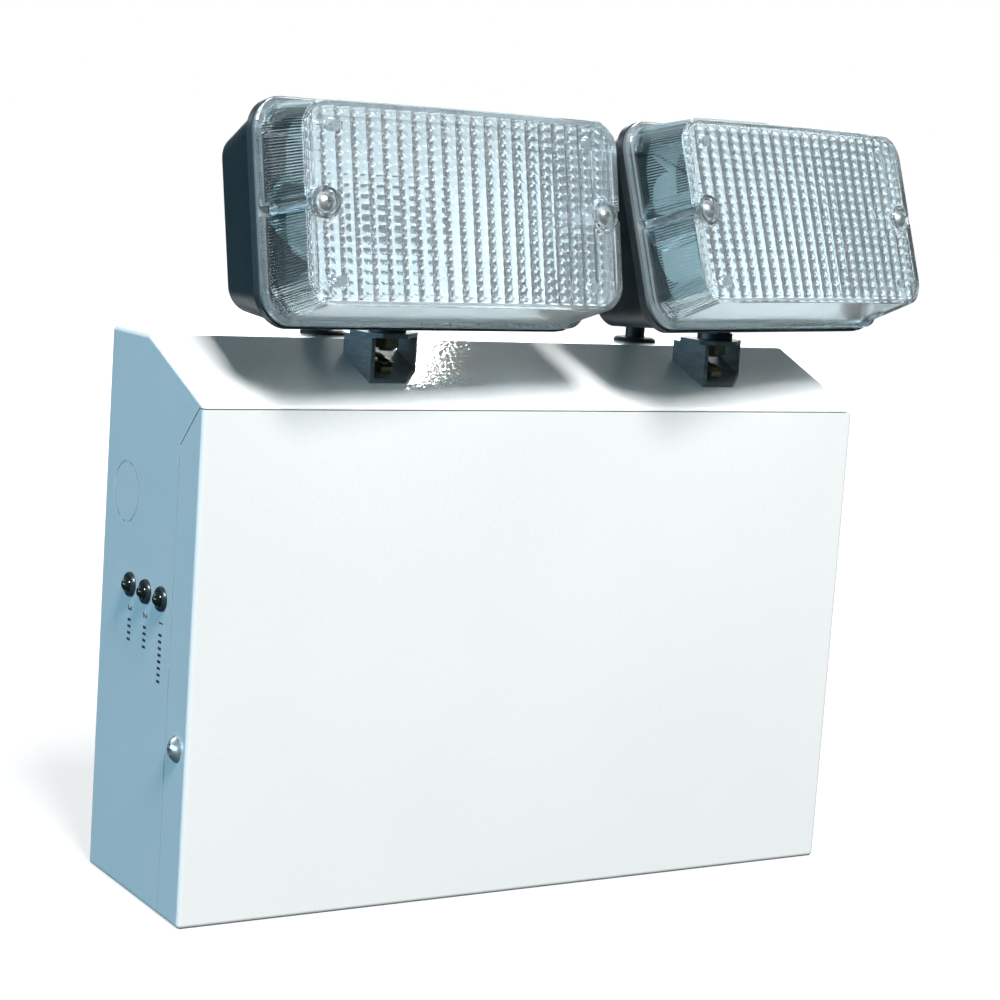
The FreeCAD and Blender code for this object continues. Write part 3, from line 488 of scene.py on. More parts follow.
def turned(profile, ring=False, steps=48):
    """A shape spun about Z from (radius, height) points."""
    bm = bmesh.new()
    dots = [bm.verts.new((r, 0, h)) for r, h in profile]
    lines = [bm.edges.new(pair) for pair in zip(dots, dots[1:])]
    if ring:
        lines.append(bm.edges.new((dots[-1], dots[0])))
    bmesh.ops.spin(bm, geom=dots + lines, axis=(0, 0, 1), cent=(0, 0, 0), angle=math.tau, steps=steps,
                   use_merge=True)
    bmesh.ops.remove_doubles(bm, verts=bm.verts, dist=1e-7)
    bmesh.ops.recalc_face_normals(bm, faces=bm.faces)
    return bm


def stand_up(bm, foot, along):
    """Points a turned shape's Z axis along a direction, and puts its foot at a place."""
    turn = Vector((0, 0, 1)).rotation_difference(Vector(along)).to_matrix().to_4x4()
    bmesh.ops.transform(bm, matrix=Matrix.Translation(foot) @ turn, verts=bm.verts)
    return bm


def gather(whole, bm):
    """Adds one shape to another and frees it."""
    passing = bpy.data.meshes.new("passing")
    bm.to_mesh(passing)
    bm.free()
    whole.from_mesh(passing)
    bpy.data.meshes.remove(passing)


def arc_points(r, high, count):
    """(radius, height) points of a low dome, from its edge to its top."""
    ball = (r * r + high * high) / (2 * high)
    start = math.asin(min(1.0, r / ball))
    angles = [start * (1 - i / count) for i in range(count + 1)]
    return [(ball * math.sin(a), ball * math.cos(a) - ball + high) for a in angles]


# %% [markdown]
# The lens is the piece that people look at. It is one clear moulding: a crowned front whose inside is a
# grid of little pillows, side walls with fine ribs that fan out round the corners, frosted top and bottom
# walls, and a flange that sits on the seal. A bump could draw the pillows, but it would not bend what lies
# behind them, so each one is modelled. The lens starts as a fine grid. A copy of the grid becomes the
# pillowed inside, the edge of the first one is extruded backwards ring by ring, and a bridge closes the
# shell between the two.

# %% Lens sizes
FACE_W, FACE_H = 126.0 * MM, 62.3 * MM
FACE_Y = -47.4 * MM
CROWN = 2.0 * MM
FACE_R = 9.0 * MM
LENS_W, LENS_H = 129.5 * MM, 68.5 * MM
FLANGE_W, FLANGE_H = 131.4 * MM, 71.8 * MM
FLANGE_Y = -26.0 * MM
LENS_BACK = -23.5 * MM
LENS_WALL = 2.2 * MM
COLUMNS, ROWS, FINE = 22, 20, 7
PILLOW_ACROSS = 0.55 * MM
PILLOW_UP = 0.40 * MM
RIB = 0.30 * MM
BOSS_X = 56.5 * MM
BOSS_HOLE = 5.2 * MM
BOSS_PLACES = [(-BOSS_X, 0), (BOSS_X, 0)]
BOSS_FLAT = BOSS_HOLE + 0.5 * MM
EDGE_STRIP = 2.4 * MM
LEVEL_WALL = 0.85
WALL_MARGIN = 3.0 * MM
PIN_R = 1.9 * MM
PIN_FLAT = PIN_R + 0.4 * MM
PIN_PLACES = [(sx * 51.0 * MM, sz * 24.0 * MM) for sx in (-1, 1) for sz in (-1, 1)]
print("lens", round(LENS_W / MM, 1), "x", round(LENS_H / MM, 1), "mm with", COLUMNS * ROWS, "pillows")


# %% Lens helpers
def verts_of(geometry):
    return [g for g in geometry if isinstance(g, bmesh.types.BMVert)]


def round_corners(verts, half_w, half_h, r):
    """Draws the square corners of a flat grid onto quarter circles."""
    for v in verts:
        dx, dz = abs(v.co.x) - (half_w - r), abs(v.co.z) - (half_h - r)
        if dx > 0 and dz > 0:
            pull = max(dx, dz) / math.hypot(dx, dz)
            v.co.x = math.copysign(half_w - r + dx * pull, v.co.x)
            v.co.z = math.copysign(half_h - r + dz * pull, v.co.z)


def near_any(v, spots, reach):
    return any(math.hypot(v.co.x - x, v.co.z - z) < reach for x, z in spots)


def bump_of(share):
    """Height of a pillow at a share of its width, from 0 at its edges to 1 in the middle."""
    part = share - math.floor(share + 1e-6)
    return 1 - (2 * part - 1) ** 2


def next_ring(bm, edges, grow_x, grow_z, y):
    """Extrudes a closed loop of edges and sets the new loop at another size and depth."""
    made = bmesh.ops.extrude_edge_only(bm, edges=edges)["geom"]
    verts = set(verts_of(made))
    bmesh.ops.scale(bm, vec=(grow_x, 1, grow_z), verts=list(verts))
    for v in verts:
        v.co.y = y(v) if callable(y) else y
    edges = [g for g in made if isinstance(g, bmesh.types.BMEdge) and set(g.verts) <= verts]
    return edges, list(verts)


# %% Lens face
def open_bosses(bm):
    """Opens the two screw holes in the grid and makes them round."""
    for bx in (-BOSS_X, BOSS_X):
        middles = {f: f.calc_center_median() for f in bm.faces}
        inside = [f for f, middle in middles.items() if math.hypot(middle.x - bx, middle.z) < BOSS_HOLE]
        bmesh.ops.delete(bm, geom=inside, context="FACES")
        for v in bm.verts:
            near = Vector((v.co.x - bx, v.co.z))
            if v.is_boundary and near.length < BOSS_HOLE + 1.5 * MM:
                near = near.normalized() * BOSS_HOLE
                v.co.x, v.co.z = bx + near.x, near.y


def hole_edges(edges, bx):
    return [e for e in edges if e.is_boundary and all(
        abs(math.hypot(v.co.x - bx, v.co.z) - BOSS_HOLE) < 0.3 * MM for v in e.verts)]


def lens_grid():
    bm = bmesh.new()
    bmesh.ops.create_grid(bm, x_segments=COLUMNS * FINE, y_segments=ROWS * FINE, size=0.5,
                          matrix=Matrix.Rotation(math.radians(90), 4, "X"))
    bmesh.ops.scale(bm, vec=(FACE_W, 1, FACE_H), verts=bm.verts)
    open_bosses(bm)
    return bm


def pillow_inside(verts):
    """Turns the second grid into the pillowed inside of the face."""
    half_w, half_h = FACE_W / 2, FACE_H / 2
    for v in verts:
        across = (v.co.x / FACE_W + 0.5) * COLUMNS
        up = (v.co.z / FACE_H + 0.5) * ROWS
        swell = PILLOW_ACROSS * bump_of(across) + PILLOW_UP * bump_of(up)
        if near_any(v, BOSS_PLACES, BOSS_FLAT) or near_any(v, PIN_PLACES, PIN_FLAT):
            swell = 0
        v.co.y = FACE_Y + LENS_WALL - CROWN * (1 - (v.co.x / half_w) ** 2) + swell
        for axis, half in ((0, half_w), (2, half_h)):
            over = abs(v.co[axis]) - (half - EDGE_STRIP)
            if over > 0:
                v.co[axis] = math.copysign(half - EDGE_STRIP + over / 2, v.co[axis])
    inset = EDGE_STRIP / 2
    round_corners(verts, half_w - inset, half_h - inset, FACE_R - inset)


# %% Lens walls
def raise_ribs(verts, half_w, half_h, r):
    """Moves the points of a wall ring out and in by turns, on the side walls and round the corners."""
    ordered = sorted(verts, key=lambda v: math.atan2(v.co.z / half_h + 1e-4, v.co.x / half_w))
    for i, v in enumerate(ordered):
        out = Vector((v.co.x - max(-half_w + r, min(half_w - r, v.co.x)),
                      v.co.z - max(-half_h + r, min(half_h - r, v.co.z))))
        if out.length < 1e-9 or abs(out.normalized().x) < 0.2:
            continue
        out = out.normalized() * (RIB / 2 if i % 2 else -RIB / 2)
        v.co.x += out.x
        v.co.z += out.y


def lens_walls(bm, loop):
    """Extrudes the face's edge into bead, ribbed wall and flange, and returns the last loop."""
    w, h = FACE_W, FACE_H
    rings = []
    steps = [(FACE_W + 0.9 * MM, FACE_H + 0.9 * MM, lambda v: v.co.y + 0.5 * MM),
             (FACE_W + 1.0 * MM, FACE_H + 1.1 * MM, lambda v: v.co.y + 0.7 * MM),
             (LENS_W - 0.1 * MM, LENS_H - 0.2 * MM, FLANGE_Y - 1.0 * MM),
             (LENS_W, LENS_H, FLANGE_Y),
             (FLANGE_W - 0.6 * MM, FLANGE_H - 0.6 * MM, FLANGE_Y),
             (FLANGE_W, FLANGE_H, FLANGE_Y + 0.3 * MM),
             (FLANGE_W, FLANGE_H, LENS_BACK - 0.3 * MM),
             (FLANGE_W - 0.6 * MM, FLANGE_H - 0.6 * MM, LENS_BACK),
             (LENS_W - 2 * LENS_WALL, LENS_H - 2 * LENS_WALL, LENS_BACK)]
    for next_w, next_h, y in steps:
        loop, verts = next_ring(bm, loop, next_w / w, next_h / h, y)
        rings.append((verts, loop, next_w / 2, next_h / 2))
        w, h = next_w, next_h
    for verts, edges, half_w, half_h in rings[1:3]:
        raise_ribs(verts, half_w, half_h, FACE_R)
        for e in edges:
            e.seam = True
    return loop


def finish_walls(bm):
    """Frosts the top and bottom walls, and gives the ribbed side walls the darker finish, which is painted
    shade.
    """
    for f in bm.faces:
        middle = f.calc_center_median()
        level = abs(f.normal.z) > LEVEL_WALL and abs(middle.z) > FACE_H / 2 - 0.5 * MM
        level = level and FACE_Y < middle.y < FLANGE_Y
        ribbed = abs(f.normal.y) < 0.5 and FACE_Y + WALL_MARGIN < middle.y < FLANGE_Y - WALL_MARGIN
        if level:
            f.material_index = 1
        elif ribbed:
            f.material_index = 2


# %% Lens shell
def lens_shell():
    bm = lens_grid()
    front = list(bm.verts)
    front_edges = list(bm.edges)
    copy = bmesh.ops.duplicate(bm, geom=bm.verts[:] + bm.edges[:] + bm.faces[:])["geom"]
    inside = verts_of(copy)
    inside_edges = [g for g in copy if isinstance(g, bmesh.types.BMEdge)]
    holes = [hole_edges(front_edges, bx) + hole_edges(inside_edges, bx) for bx in (-BOSS_X, BOSS_X)]
    on_hole = {e for group in holes for e in group}
    edge_loop = [e for e in front_edges if e.is_boundary and e not in on_hole]
    inside_loop = [e for e in inside_edges if e.is_boundary and e not in on_hole]
    pillow_inside(inside)
    round_corners(front, FACE_W / 2, FACE_H / 2, FACE_R)
    for v in front:
        v.co.y = FACE_Y - CROWN * (1 - (v.co.x / (FACE_W / 2)) ** 2)
    for group in holes:
        bmesh.ops.bridge_loops(bm, edges=group)
    wall_loop = lens_walls(bm, edge_loop)
    bmesh.ops.bridge_loops(bm, edges=wall_loop + inside_loop)
    bmesh.ops.recalc_face_normals(bm, faces=bm.faces)
    finish_walls(bm)
    print("lens shell:", len(bm.faces), "faces,", sum(e.is_boundary for e in bm.edges), "open edges")
    return bm


def into_head(bm, side):
    """Lifts a shape made about the head's middle, and turns it into its place on the head."""
    place = head_place(side) @ Matrix.Translation((0, 0, HEAD_UP))
    bmesh.ops.transform(bm, matrix=place, verts=bm.verts)
    return bm


for side in SIDES:
    keep_piece(into_head(lens_shell(), side), f"{side}_fluted_lens", LENS_CLEAR, f"{side}_head",
               [f"{side}_lens"], crease=28.0, more=(LENS_FROST, LENS_WALL_SHADE))

# %% [markdown]
# Two screws hold each lens. They sit in round clear bosses that run back to the flange, so a boss is a
# turned tube with a lip and a shallow seat. Four small pins stand behind the corners of the face and show
# through it as dots.

# %% Lens bosses and pins
BOSS_R = 5.05 * MM
BOSS_SEAT = -47.0 * MM
BOSS_LIP = -48.4 * MM
SCREW_HOLE = 2.1 * MM
PIN_LONG = 3.0 * MM


def lens_bosses():
    whole = bmesh.new()
    deep = -LENS_BACK
    lip = -BOSS_LIP
    profile = [(SCREW_HOLE, deep), (BOSS_R, deep), (BOSS_R, lip - 0.3 * MM), (BOSS_R - 0.3 * MM, lip),
               (BOSS_R - 0.7 * MM, lip), (BOSS_R - 1.0 * MM, lip - 0.3 * MM),
               (BOSS_R - 1.1 * MM, -BOSS_SEAT), (SCREW_HOLE, -BOSS_SEAT)]
    for bx in (-BOSS_X, BOSS_X):
        gather(whole, stand_up(turned(profile, ring=True), (bx, 0, 0), (0, -1, 0)))
    return whole


def lens_pins():
    whole = bmesh.new()
    for x, z in PIN_PLACES:
        front = -FACE_Y - LENS_WALL + CROWN * (1 - (2 * x / FACE_W) ** 2) - 0.1 * MM
        pin = [(0, front - PIN_LONG), (PIN_R, front - PIN_LONG), (PIN_R, front - 0.2 * MM),
               (PIN_R - 0.2 * MM, front), (0, front)]
        gather(whole, stand_up(turned(pin, steps=24), (x, 0, z), (0, -1, 0)))
    return whole


for side in SIDES:
    head = f"{side}_head"
    keep_piece(into_head(lens_bosses(), side), f"{side}_lens_bosses", LENS_CLEAR, head)
    keep_piece(into_head(lens_pins(), side), f"{side}_lens_pins", SEAL_GREY, head)

# %% [markdown]
# Screw heads are small, but their highlights and recesses tell the eye that they are screws. A head is
# turned from a low dome with a rounded edge. The cross recess is cut by a Boolean modifier with two
# crossing wedges, and the result is made a plain mesh, so nothing live is left on the piece.

# %% Screws with a cross recess
def cross_cutter(long, wide, deep, top):
    """Two crossing wedges, narrower at the bottom, that reach from above the top down into a head."""
    bm = bmesh.new()
    for turn in (0, 90):
        made = bmesh.ops.create_cube(bm, size=1.0)["verts"]
        bmesh.ops.scale(bm, vec=(long, wide, deep * 2), verts=made)
        bmesh.ops.translate(bm, vec=(0, 0, top), verts=made)
        for v in made:
            if v.co.z < top:
                v.co.x *= 0.45
                v.co.y *= 0.7
        spun = Matrix.Rotation(math.radians(turn), 3, "Z")
        bmesh.ops.rotate(bm, cent=(0, 0, 0), matrix=spun, verts=made)
    return bm


def carve(bm, cutter):
    """Takes one shape out of another with a Boolean, and returns the rest."""
    meshes = [bpy.data.meshes.new(n) for n in ("carve_from", "carve_with")]
    for mesh, shape in zip(meshes, (bm, cutter)):
        shape.to_mesh(mesh)
        shape.free()
    block, tool = [bpy.data.objects.new(m.name, m) for m in meshes]
    for obj in (block, tool):
        bpy.context.scene.collection.objects.link(obj)
    cut = block.modifiers.new("cut", "BOOLEAN")
    cut.operation = "DIFFERENCE"
    cut.solver = "EXACT"
    cut.use_self = True
    cut.object = tool
    bpy.context.view_layer.update()
    carved = bpy.data.meshes.new_from_object(block.evaluated_get(bpy.context.evaluated_depsgraph_get()))
    rest = bmesh.new()
    rest.from_mesh(carved)
    for obj in (block, tool):
        bpy.data.objects.remove(obj)
    for mesh in meshes + [carved]:
        bpy.data.meshes.remove(mesh)
    return rest


def pan_screw(head_r, head_high, shank_r, shank_long):
    """A screw whose seat is at height 0, with its shank below."""
    rim = 0.12 * MM
    dome = [(head_r - 0.15 * MM, 0)]
    dome += [(r, z + rim) for r, z in arc_points(head_r, head_high - rim, 9)]
    dome[-1] = (0, dome[-1][1])
    body = [(0, -shank_long), (shank_r * 0.6, -shank_long), (shank_r, -shank_long + 0.6 * MM), (shank_r, 0)]
    screw = turned(body + dome)
    return carve(screw, cross_cutter(head_r * 1.25, head_r * 0.3, head_high * 0.7, head_high))


LENS_SCREW = (3.4 * MM, 2.2 * MM, 2.0 * MM, 46.0 * MM)


def lens_screws():
    whole = bmesh.new()
    for bx in (-BOSS_X, BOSS_X):
        gather(whole, stand_up(pan_screw(*LENS_SCREW), (bx, BOSS_SEAT, 0), (0, -1, 0)))
    return whole


for side in SIDES:
    keep_piece(into_head(lens_screws(), side), f"{side}_lens_pan_screws", BRIGHT_CHROME, f"{side}_head",
               [f"{side}_lens_screws"])

# %% [markdown]
# The reflector is a bowl of mirrored plastic. Its section is a parabola, which sends the light of the
# bulb straight forward. A rounded rectangle is extruded backwards in rings that shrink as the parabola
# says, the floor is filled, and a flange goes out to the rebate in the housing. Solidify then gives the
# sheet its thickness.

# %% Reflector
BOWL_W, BOWL_H = 108.0 * MM, 60.0 * MM
BOWL_R = 18.0 * MM
BOWL_FRONT, BOWL_FLOOR = -21.4 * MM, -3.3 * MM
BOWL_LEAST = 0.36
BOWL_RINGS = 14
REBATE_W, REBATE_H = 126.6 * MM, 66.6 * MM
RIM_Y = -22.3 * MM
LIP_Y = RIM_Y + 0.4 * MM
LIP_GROW = (1.01, 1.02)
FILM = 0.8 * MM
SHADE_BLACK_END = BOWL_W / 2 - 6.0 * MM


def rounded_loop(w, h, r, y):
    """The outline of a rounded rectangle that faces -Y, as a bmesh with edges only."""
    bm = bmesh.new()
    bmesh.ops.create_grid(bm, x_segments=1, y_segments=1, size=0.5,
                          matrix=Matrix.Rotation(math.radians(90), 4, "X"))
    bmesh.ops.scale(bm, vec=(w, 1, h), verts=bm.verts)
    bmesh.ops.bevel(bm, geom=bm.verts[:], offset=r, offset_type="OFFSET", segments=10, profile=0.5,
                    affect="VERTICES", material=-1)
    bmesh.ops.delete(bm, geom=bm.faces[:], context="FACES_ONLY")
    bmesh.ops.translate(bm, vec=(0, y, 0), verts=bm.verts)
    return bm


def reflector_bowl():
    bm = rounded_loop(BOWL_W, BOWL_H, BOWL_R, BOWL_FRONT)
    mouth = bm.edges[:]
    loop, share = mouth, 1.0
    for i in range(1, BOWL_RINGS + 1):
        next_share = 1 - (1 - BOWL_LEAST) * i / BOWL_RINGS
        deep = (1 - next_share ** 2) / (1 - BOWL_LEAST ** 2)
        y = BOWL_FRONT + (BOWL_FLOOR - BOWL_FRONT) * deep
        loop, _ = next_ring(bm, loop, next_share / share, next_share / share, y)
        share = next_share
    bmesh.ops.contextual_create(bm, geom=loop)
    lip, _ = next_ring(bm, mouth, *LIP_GROW, LIP_Y)
    bowl_faces = set(bm.faces)
    flange_grow = REBATE_W / (BOWL_W * LIP_GROW[0]), REBATE_H / (BOWL_H * LIP_GROW[1])
    lip, _ = next_ring(bm, lip, *flange_grow, LIP_Y)
    # The flange's two ends take the black housing plastic instead of mirror film: painted shade, so that the
    # ribbed side walls of the lens look dark.
    for f in set(bm.faces) - bowl_faces:
        f.material_index = 1 if abs(f.calc_center_median().x) > SHADE_BLACK_END else 0
    bmesh.ops.recalc_face_normals(bm, faces=bm.faces)
    bmesh.ops.solidify(bm, geom=bm.faces[:], thickness=FILM)
    bmesh.ops.recalc_face_normals(bm, faces=bm.faces)
    return bm


for side in SIDES:
    keep_piece(into_head(reflector_bowl(), side), f"{side}_reflector_bowl", MIRROR_FILM, f"{side}_head",
               [f"{side}_reflector"], more=(HOUSING_BLACK,))

# %% [markdown]
# The bulb is a small glass capsule in a black holder, which has a rounded base plate on the floor of the
# bowl. Its glass is turned with a thin wall, and inside stand two support wires with the filament between
# them. It is seen only through the lens, as a dark patch in the bright bowl.

# %% Bulb
BULB_R = 4.4 * MM
BULB_TIP = 22.8 * MM
HOLDER_FRONT = 6.3 * MM
WIRE_X, WIRE_R, WIRE_TOP = 1.6 * MM, 0.25 * MM, 17.0 * MM
COIL_R, COIL_HALF, COIL_PLACE = 0.42 * MM, 1.7 * MM, 16.7 * MM


def bulb_glass():
    round_off = arc_points(BULB_R, BULB_R, 10)
    outer = [(r, z + BULB_TIP - BULB_R) for r, z in round_off]
    thin = 0.5 * MM
    inner = [(max(0.0, r - thin * r / BULB_R), z - thin) for r, z in reversed(outer)]
    profile = [(BULB_R, HOLDER_FRONT)] + outer + inner + [(BULB_R - thin, HOLDER_FRONT)]
    return stand_up(turned(profile, ring=True), (0, 0, 0), (0, -1, 0))


def bulb_wires():
    """Two support wires and the filament across their tips."""
    whole = bmesh.new()
    for x in (-WIRE_X, WIRE_X):
        profile = [(0, HOLDER_FRONT), (WIRE_R, HOLDER_FRONT), (WIRE_R, WIRE_TOP), (0, WIRE_TOP)]
        gather(whole, stand_up(turned(profile, steps=10), (x, 0, 0), (0, -1, 0)))
    coil = [(0, -COIL_HALF), (COIL_R, -COIL_HALF), (COIL_R, COIL_HALF), (0, COIL_HALF)]
    gather(whole, stand_up(turned(coil, steps=12), (0, -COIL_PLACE, 0), (1, 0, 0)))
    return whole


# %% Bulb holder
HOLDER_R = 6.5 * MM
HOLDER_BACK = -3.3 * MM
PLATE_W, PLATE_H, PLATE_R = 36.0 * MM, 20.4 * MM, 7.0 * MM
PLATE_BACK, PLATE_FRONT = BOWL_FLOOR - 0.1 * MM, BOWL_FLOOR - 2.4 * MM


def socket_plate():
    """The holder's rounded base plate, on the floor of the bowl."""
    bm = rounded_loop(PLATE_W, PLATE_H, PLATE_R, PLATE_BACK)
    loop = bm.edges[:]
    bmesh.ops.contextual_create(bm, geom=loop)
    loop, _ = next_ring(bm, loop, 1, 1, PLATE_FRONT + 0.4 * MM)
    loop, _ = next_ring(bm, loop, 0.97, 0.95, PLATE_FRONT)
    bmesh.ops.contextual_create(bm, geom=loop)
    bmesh.ops.recalc_face_normals(bm, faces=bm.faces)
    return bm


def bulb_socket():
    profile = [(0, HOLDER_BACK), (HOLDER_R, HOLDER_BACK), (HOLDER_R, HOLDER_FRONT - 0.6 * MM),
               (HOLDER_R - 0.5 * MM, HOLDER_FRONT), (BULB_R + 0.5 * MM, HOLDER_FRONT),
               (BULB_R + 0.3 * MM, HOLDER_FRONT - 1 * MM), (0, HOLDER_FRONT - 1 * MM)]
    socket = stand_up(turned(profile), (0, 0, 0), (0, -1, 0))
    gather(socket, socket_plate())
    return socket


for side in SIDES:
    head = f"{side}_head"
    keep_piece(into_head(bulb_glass(), side), f"{side}_bulb_glass", BULB_CLEAR, head,
               [f"{side}_bulb"])
    keep_piece(into_head(bulb_wires(), side), f"{side}_bulb_wires", BRIGHT_CHROME, head)
    keep_piece(into_head(bulb_socket(), side), f"{side}_bulb_socket", CLIP_BLACK, head,
               [f"{side}_bulb_holder"])

# %% [markdown]
# On the left side of the cabinet three indicator lamps sit in black clips. A clip is a turned collar with
# a rounded lip, and a lamp is a dark dome. One domed screw in each side flange holds the cover. Plain
# numbers stand under the lamps. They could be painted by a material, but thin ink that is modelled keeps
# a sharp edge from close by. Heights are given from the cabinet's bottom, as on a drawing.

# %% Indicator lamps
SIDE_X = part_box("back_box")[0].x
LED_Y = [(-26.0 - 13.0 * i) * MM for i in range(3)]
MOUNT_UP = 95.0 * MM
LED_Z = 103.8 * MM - MOUNT_UP


def lamp_clips():
    whole = bmesh.new()
    profile = [(2.55 * MM, -10 * MM), (3.15 * MM, -10 * MM), (3.15 * MM, 0), (4.2 * MM, 0),
               (4.2 * MM, 0.7 * MM), (3.9 * MM, 1.2 * MM), (3.5 * MM, 1.3 * MM), (2.75 * MM, 1.3 * MM),
               (2.55 * MM, 1.1 * MM)]
    for y in LED_Y:
        gather(whole, stand_up(turned(profile, ring=True), (SIDE_X, y, LED_Z), (-1, 0, 0)))
    return whole


def lamp_domes():
    whole = bmesh.new()
    tip = [(r, z + 1.2 * MM) for r, z in arc_points(2.45 * MM, 2.1 * MM, 9)]
    tip[-1] = (0, tip[-1][1])
    profile = [(0, -8 * MM), (2.45 * MM, -8 * MM)] + tip
    for y in LED_Y:
        gather(whole, stand_up(turned(profile), (SIDE_X, y, LED_Z), (-1, 0, 0)))
    return whole


keep_piece(lamp_clips(), "lamp_clips", CLIP_BLACK, "cabinet", ["led_holders"])
keep_piece(lamp_domes(), "lamp_domes", LAMP_DARK, "cabinet", ["leds"])

# %% Cover screws
COVER_SCREW = (4.5 * MM, 2.6 * MM, 2.0 * MM, 9.0 * MM)
COVER_SCREW_Y, COVER_SCREW_Z = -68.8 * MM, 58.0 * MM - MOUNT_UP


def cover_screws():
    whole = bmesh.new()
    for sx in (-1, 1):
        foot = (sx * abs(SIDE_X), COVER_SCREW_Y, COVER_SCREW_Z)
        gather(whole, stand_up(pan_screw(*COVER_SCREW), foot, (sx, 0, 0)))
    return whole


keep_piece(cover_screws(), "cover_pan_screws", BRIGHT_CHROME, "cabinet", ["cover_screws"])

# %% Numbers on the side
NUMBER_SIZE = 4.6 * MM
NUMBER_DROP = 8.0 * MM
STROKES = (8, 4, 4)
STROKE_SIZE = (2.6 * MM, 0.9 * MM)
STROKE_DROP, STROKE_STEP = 4.0 * MM, 2.2 * MM
INK = 0.02 * MM


def ink_bar(y, z):
    """One short stroke of ink on the left side."""
    bar = bmesh.new()
    bmesh.ops.create_cube(bar, size=1.0)
    bmesh.ops.scale(bar, vec=(2 * INK, *STROKE_SIZE), verts=bar.verts)
    bmesh.ops.translate(bar, vec=(SIDE_X, y, z), verts=bar.verts)
    return bar


def ink_number(text, y, z):
    """A number on the left side that reads downwards."""
    words = bpy.data.curves.new("number", "FONT")
    words.body = text
    words.size = NUMBER_SIZE
    words.align_x, words.align_y = "CENTER", "CENTER"
    words.extrude = INK
    stencil = bpy.data.objects.new("number", words)
    bpy.context.scene.collection.objects.link(stencil)
    bpy.context.view_layer.update()
    flat = bpy.data.meshes.new_from_object(stencil.evaluated_get(bpy.context.evaluated_depsgraph_get()))
    shape = bmesh.new()
    shape.from_mesh(flat)
    facing = Matrix(((0, 0, -1), (-1, 0, 0), (0, 1, 0))).to_4x4()
    reading = Matrix.Rotation(math.radians(-90), 4, "Z")
    spot = Matrix.Translation((SIDE_X - INK, y, z))
    bmesh.ops.transform(shape, matrix=spot @ facing @ reading, verts=shape.verts)
    bpy.data.objects.remove(stencil)
    bpy.data.curves.remove(words)
    bpy.data.meshes.remove(flat)
    return shape


def side_numbers():
    """Numbers 1 to 3 under the lamps, each with a row of short strokes, as thin ink."""
    whole = bmesh.new()
    number_z = LED_Z - NUMBER_DROP
    for i, y in enumerate(reversed(LED_Y)):
        for stroke in range(STROKES[i]):
            gather(whole, ink_bar(y, number_z - STROKE_DROP - STROKE_STEP * stroke))
        gather(whole, ink_number(str(i + 1), y, number_z))
    return whole


keep_piece(side_numbers(), "side_numbers", INK_BLACK, "cabinet")

# %% [markdown]
# Six nuts are close enough to the camera to need their chamfers: on the base of each bracket, under its
# top, and on the cross bolt. A nut is a profile with both edges chamfered, spun in six steps instead of a
# full round.

# %% Nuts
NUT_BASE = (-3.5 * MM, -3.0 * MM)
BRACKET_TOP = 97.5 * MM
BRACKET_SHEET = 1.5 * MM
TOP_DEPTH = 32.0 * MM
LUG_OUTER = 7.85 * MM
BASE_NUT = (7.0 * MM, 2.8 * MM, 1.9 * MM)
STUD_NUT = (8.0 * MM, 4.0 * MM, 2.4 * MM)
CROSS_NUT = (7.0 * MM, 3.2 * MM, 1.9 * MM)


def hex_nut(flats, high, bore):
    """A nut with chamfered edges, from its width over the flats, its height and the radius of its bore."""
    r = flats / math.sqrt(3)
    cut = 0.12 * flats
    slant = cut * 0.45
    profile = [(bore, 0), (r - cut, 0), (r, slant), (r, high - slant), (r - cut, high), (bore, high)]
    return turned(profile, ring=True, steps=6)


def slope_place(x, y):
    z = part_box("back_box")[1].z - (-y - TOP_DEPTH) * math.tan(SLOPE_TILT)
    return Vector((x, y, z))


for side in SIDES:
    seat = slope_place(HEAD_X[side] + NUT_BASE[0], PIVOT_Y + NUT_BASE[1])
    seat += UP_SLOPE * (BRACKET_SHEET + 0.02 * MM)
    keep_piece(stand_up(hex_nut(*BASE_NUT), seat, UP_SLOPE), f"{side}_bracket_nut", YELLOW_ZINC, "cabinet",
               [f"{side}_base_nut"])
    under = Vector((HEAD_X[side], PIVOT_Y, BRACKET_TOP - BRACKET_SHEET - STUD_NUT[1] - 0.05 * MM))
    keep_piece(stand_up(hex_nut(*STUD_NUT), under, (0, 0, 1)), f"{side}_stud_nut", YELLOW_ZINC,
               f"{side}_swivel", [f"{side}_pivot_nut"])
    beside = stand_up(hex_nut(*CROSS_NUT), (LUG_OUTER, 0, -HEAD_UP), (1, 0, 0))
    keep_piece(into_head(beside, side), f"{side}_cross_nut", YELLOW_ZINC, f"{side}_head",
               [f"{side}_tilt_nut"])

# %% [markdown]
# A lead runs from the back of each head down into the cabinet, through a rubber grommet. The head turns
# and nods, so the lead has to bend with it. It is drawn as one smooth curve, made a tube, and cut in two
# at its middle: a lower half between cabinet and swivel, and an upper half between swivel and head.

# %% Route of the leads
LEAD_R = 3.6 * MM
LEAD_UP = 12.5 * MM
LEAD_REACH = 38.0 * MM
LEAD_TAIL = 9.0 * MM
HOUSING_BACK = 5.5 * MM
TOP_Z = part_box("back_box")[1].z
TOP_SHEET = 1.5 * MM


def grommet_spot(side):
    turn = math.radians(HEAD_PAN[side])
    x, y = HEAD_X[side] - LEAD_REACH * math.sin(turn), PIVOT_Y + LEAD_REACH * math.cos(turn)
    return Vector((x, y, TOP_Z))


def lead_route(side):
    """Exit in the head, the corner above the grommet, and the end inside the cabinet."""
    place = head_place(side)
    start = place @ Vector((0, HOUSING_BACK - 2.2 * MM, LEAD_UP))
    out = place.to_3x3() @ Vector((0, 1, 0))
    hole = grommet_spot(side)
    reach = (hole.xy - start.xy).length / out.xy.length
    corner = start + out * reach
    return [start, start + out * reach * 0.35, corner, Vector((hole.x, hole.y, hole.z + 5 * MM)),
            Vector((hole.x, hole.y, hole.z - TOP_SHEET - LEAD_TAIL))]


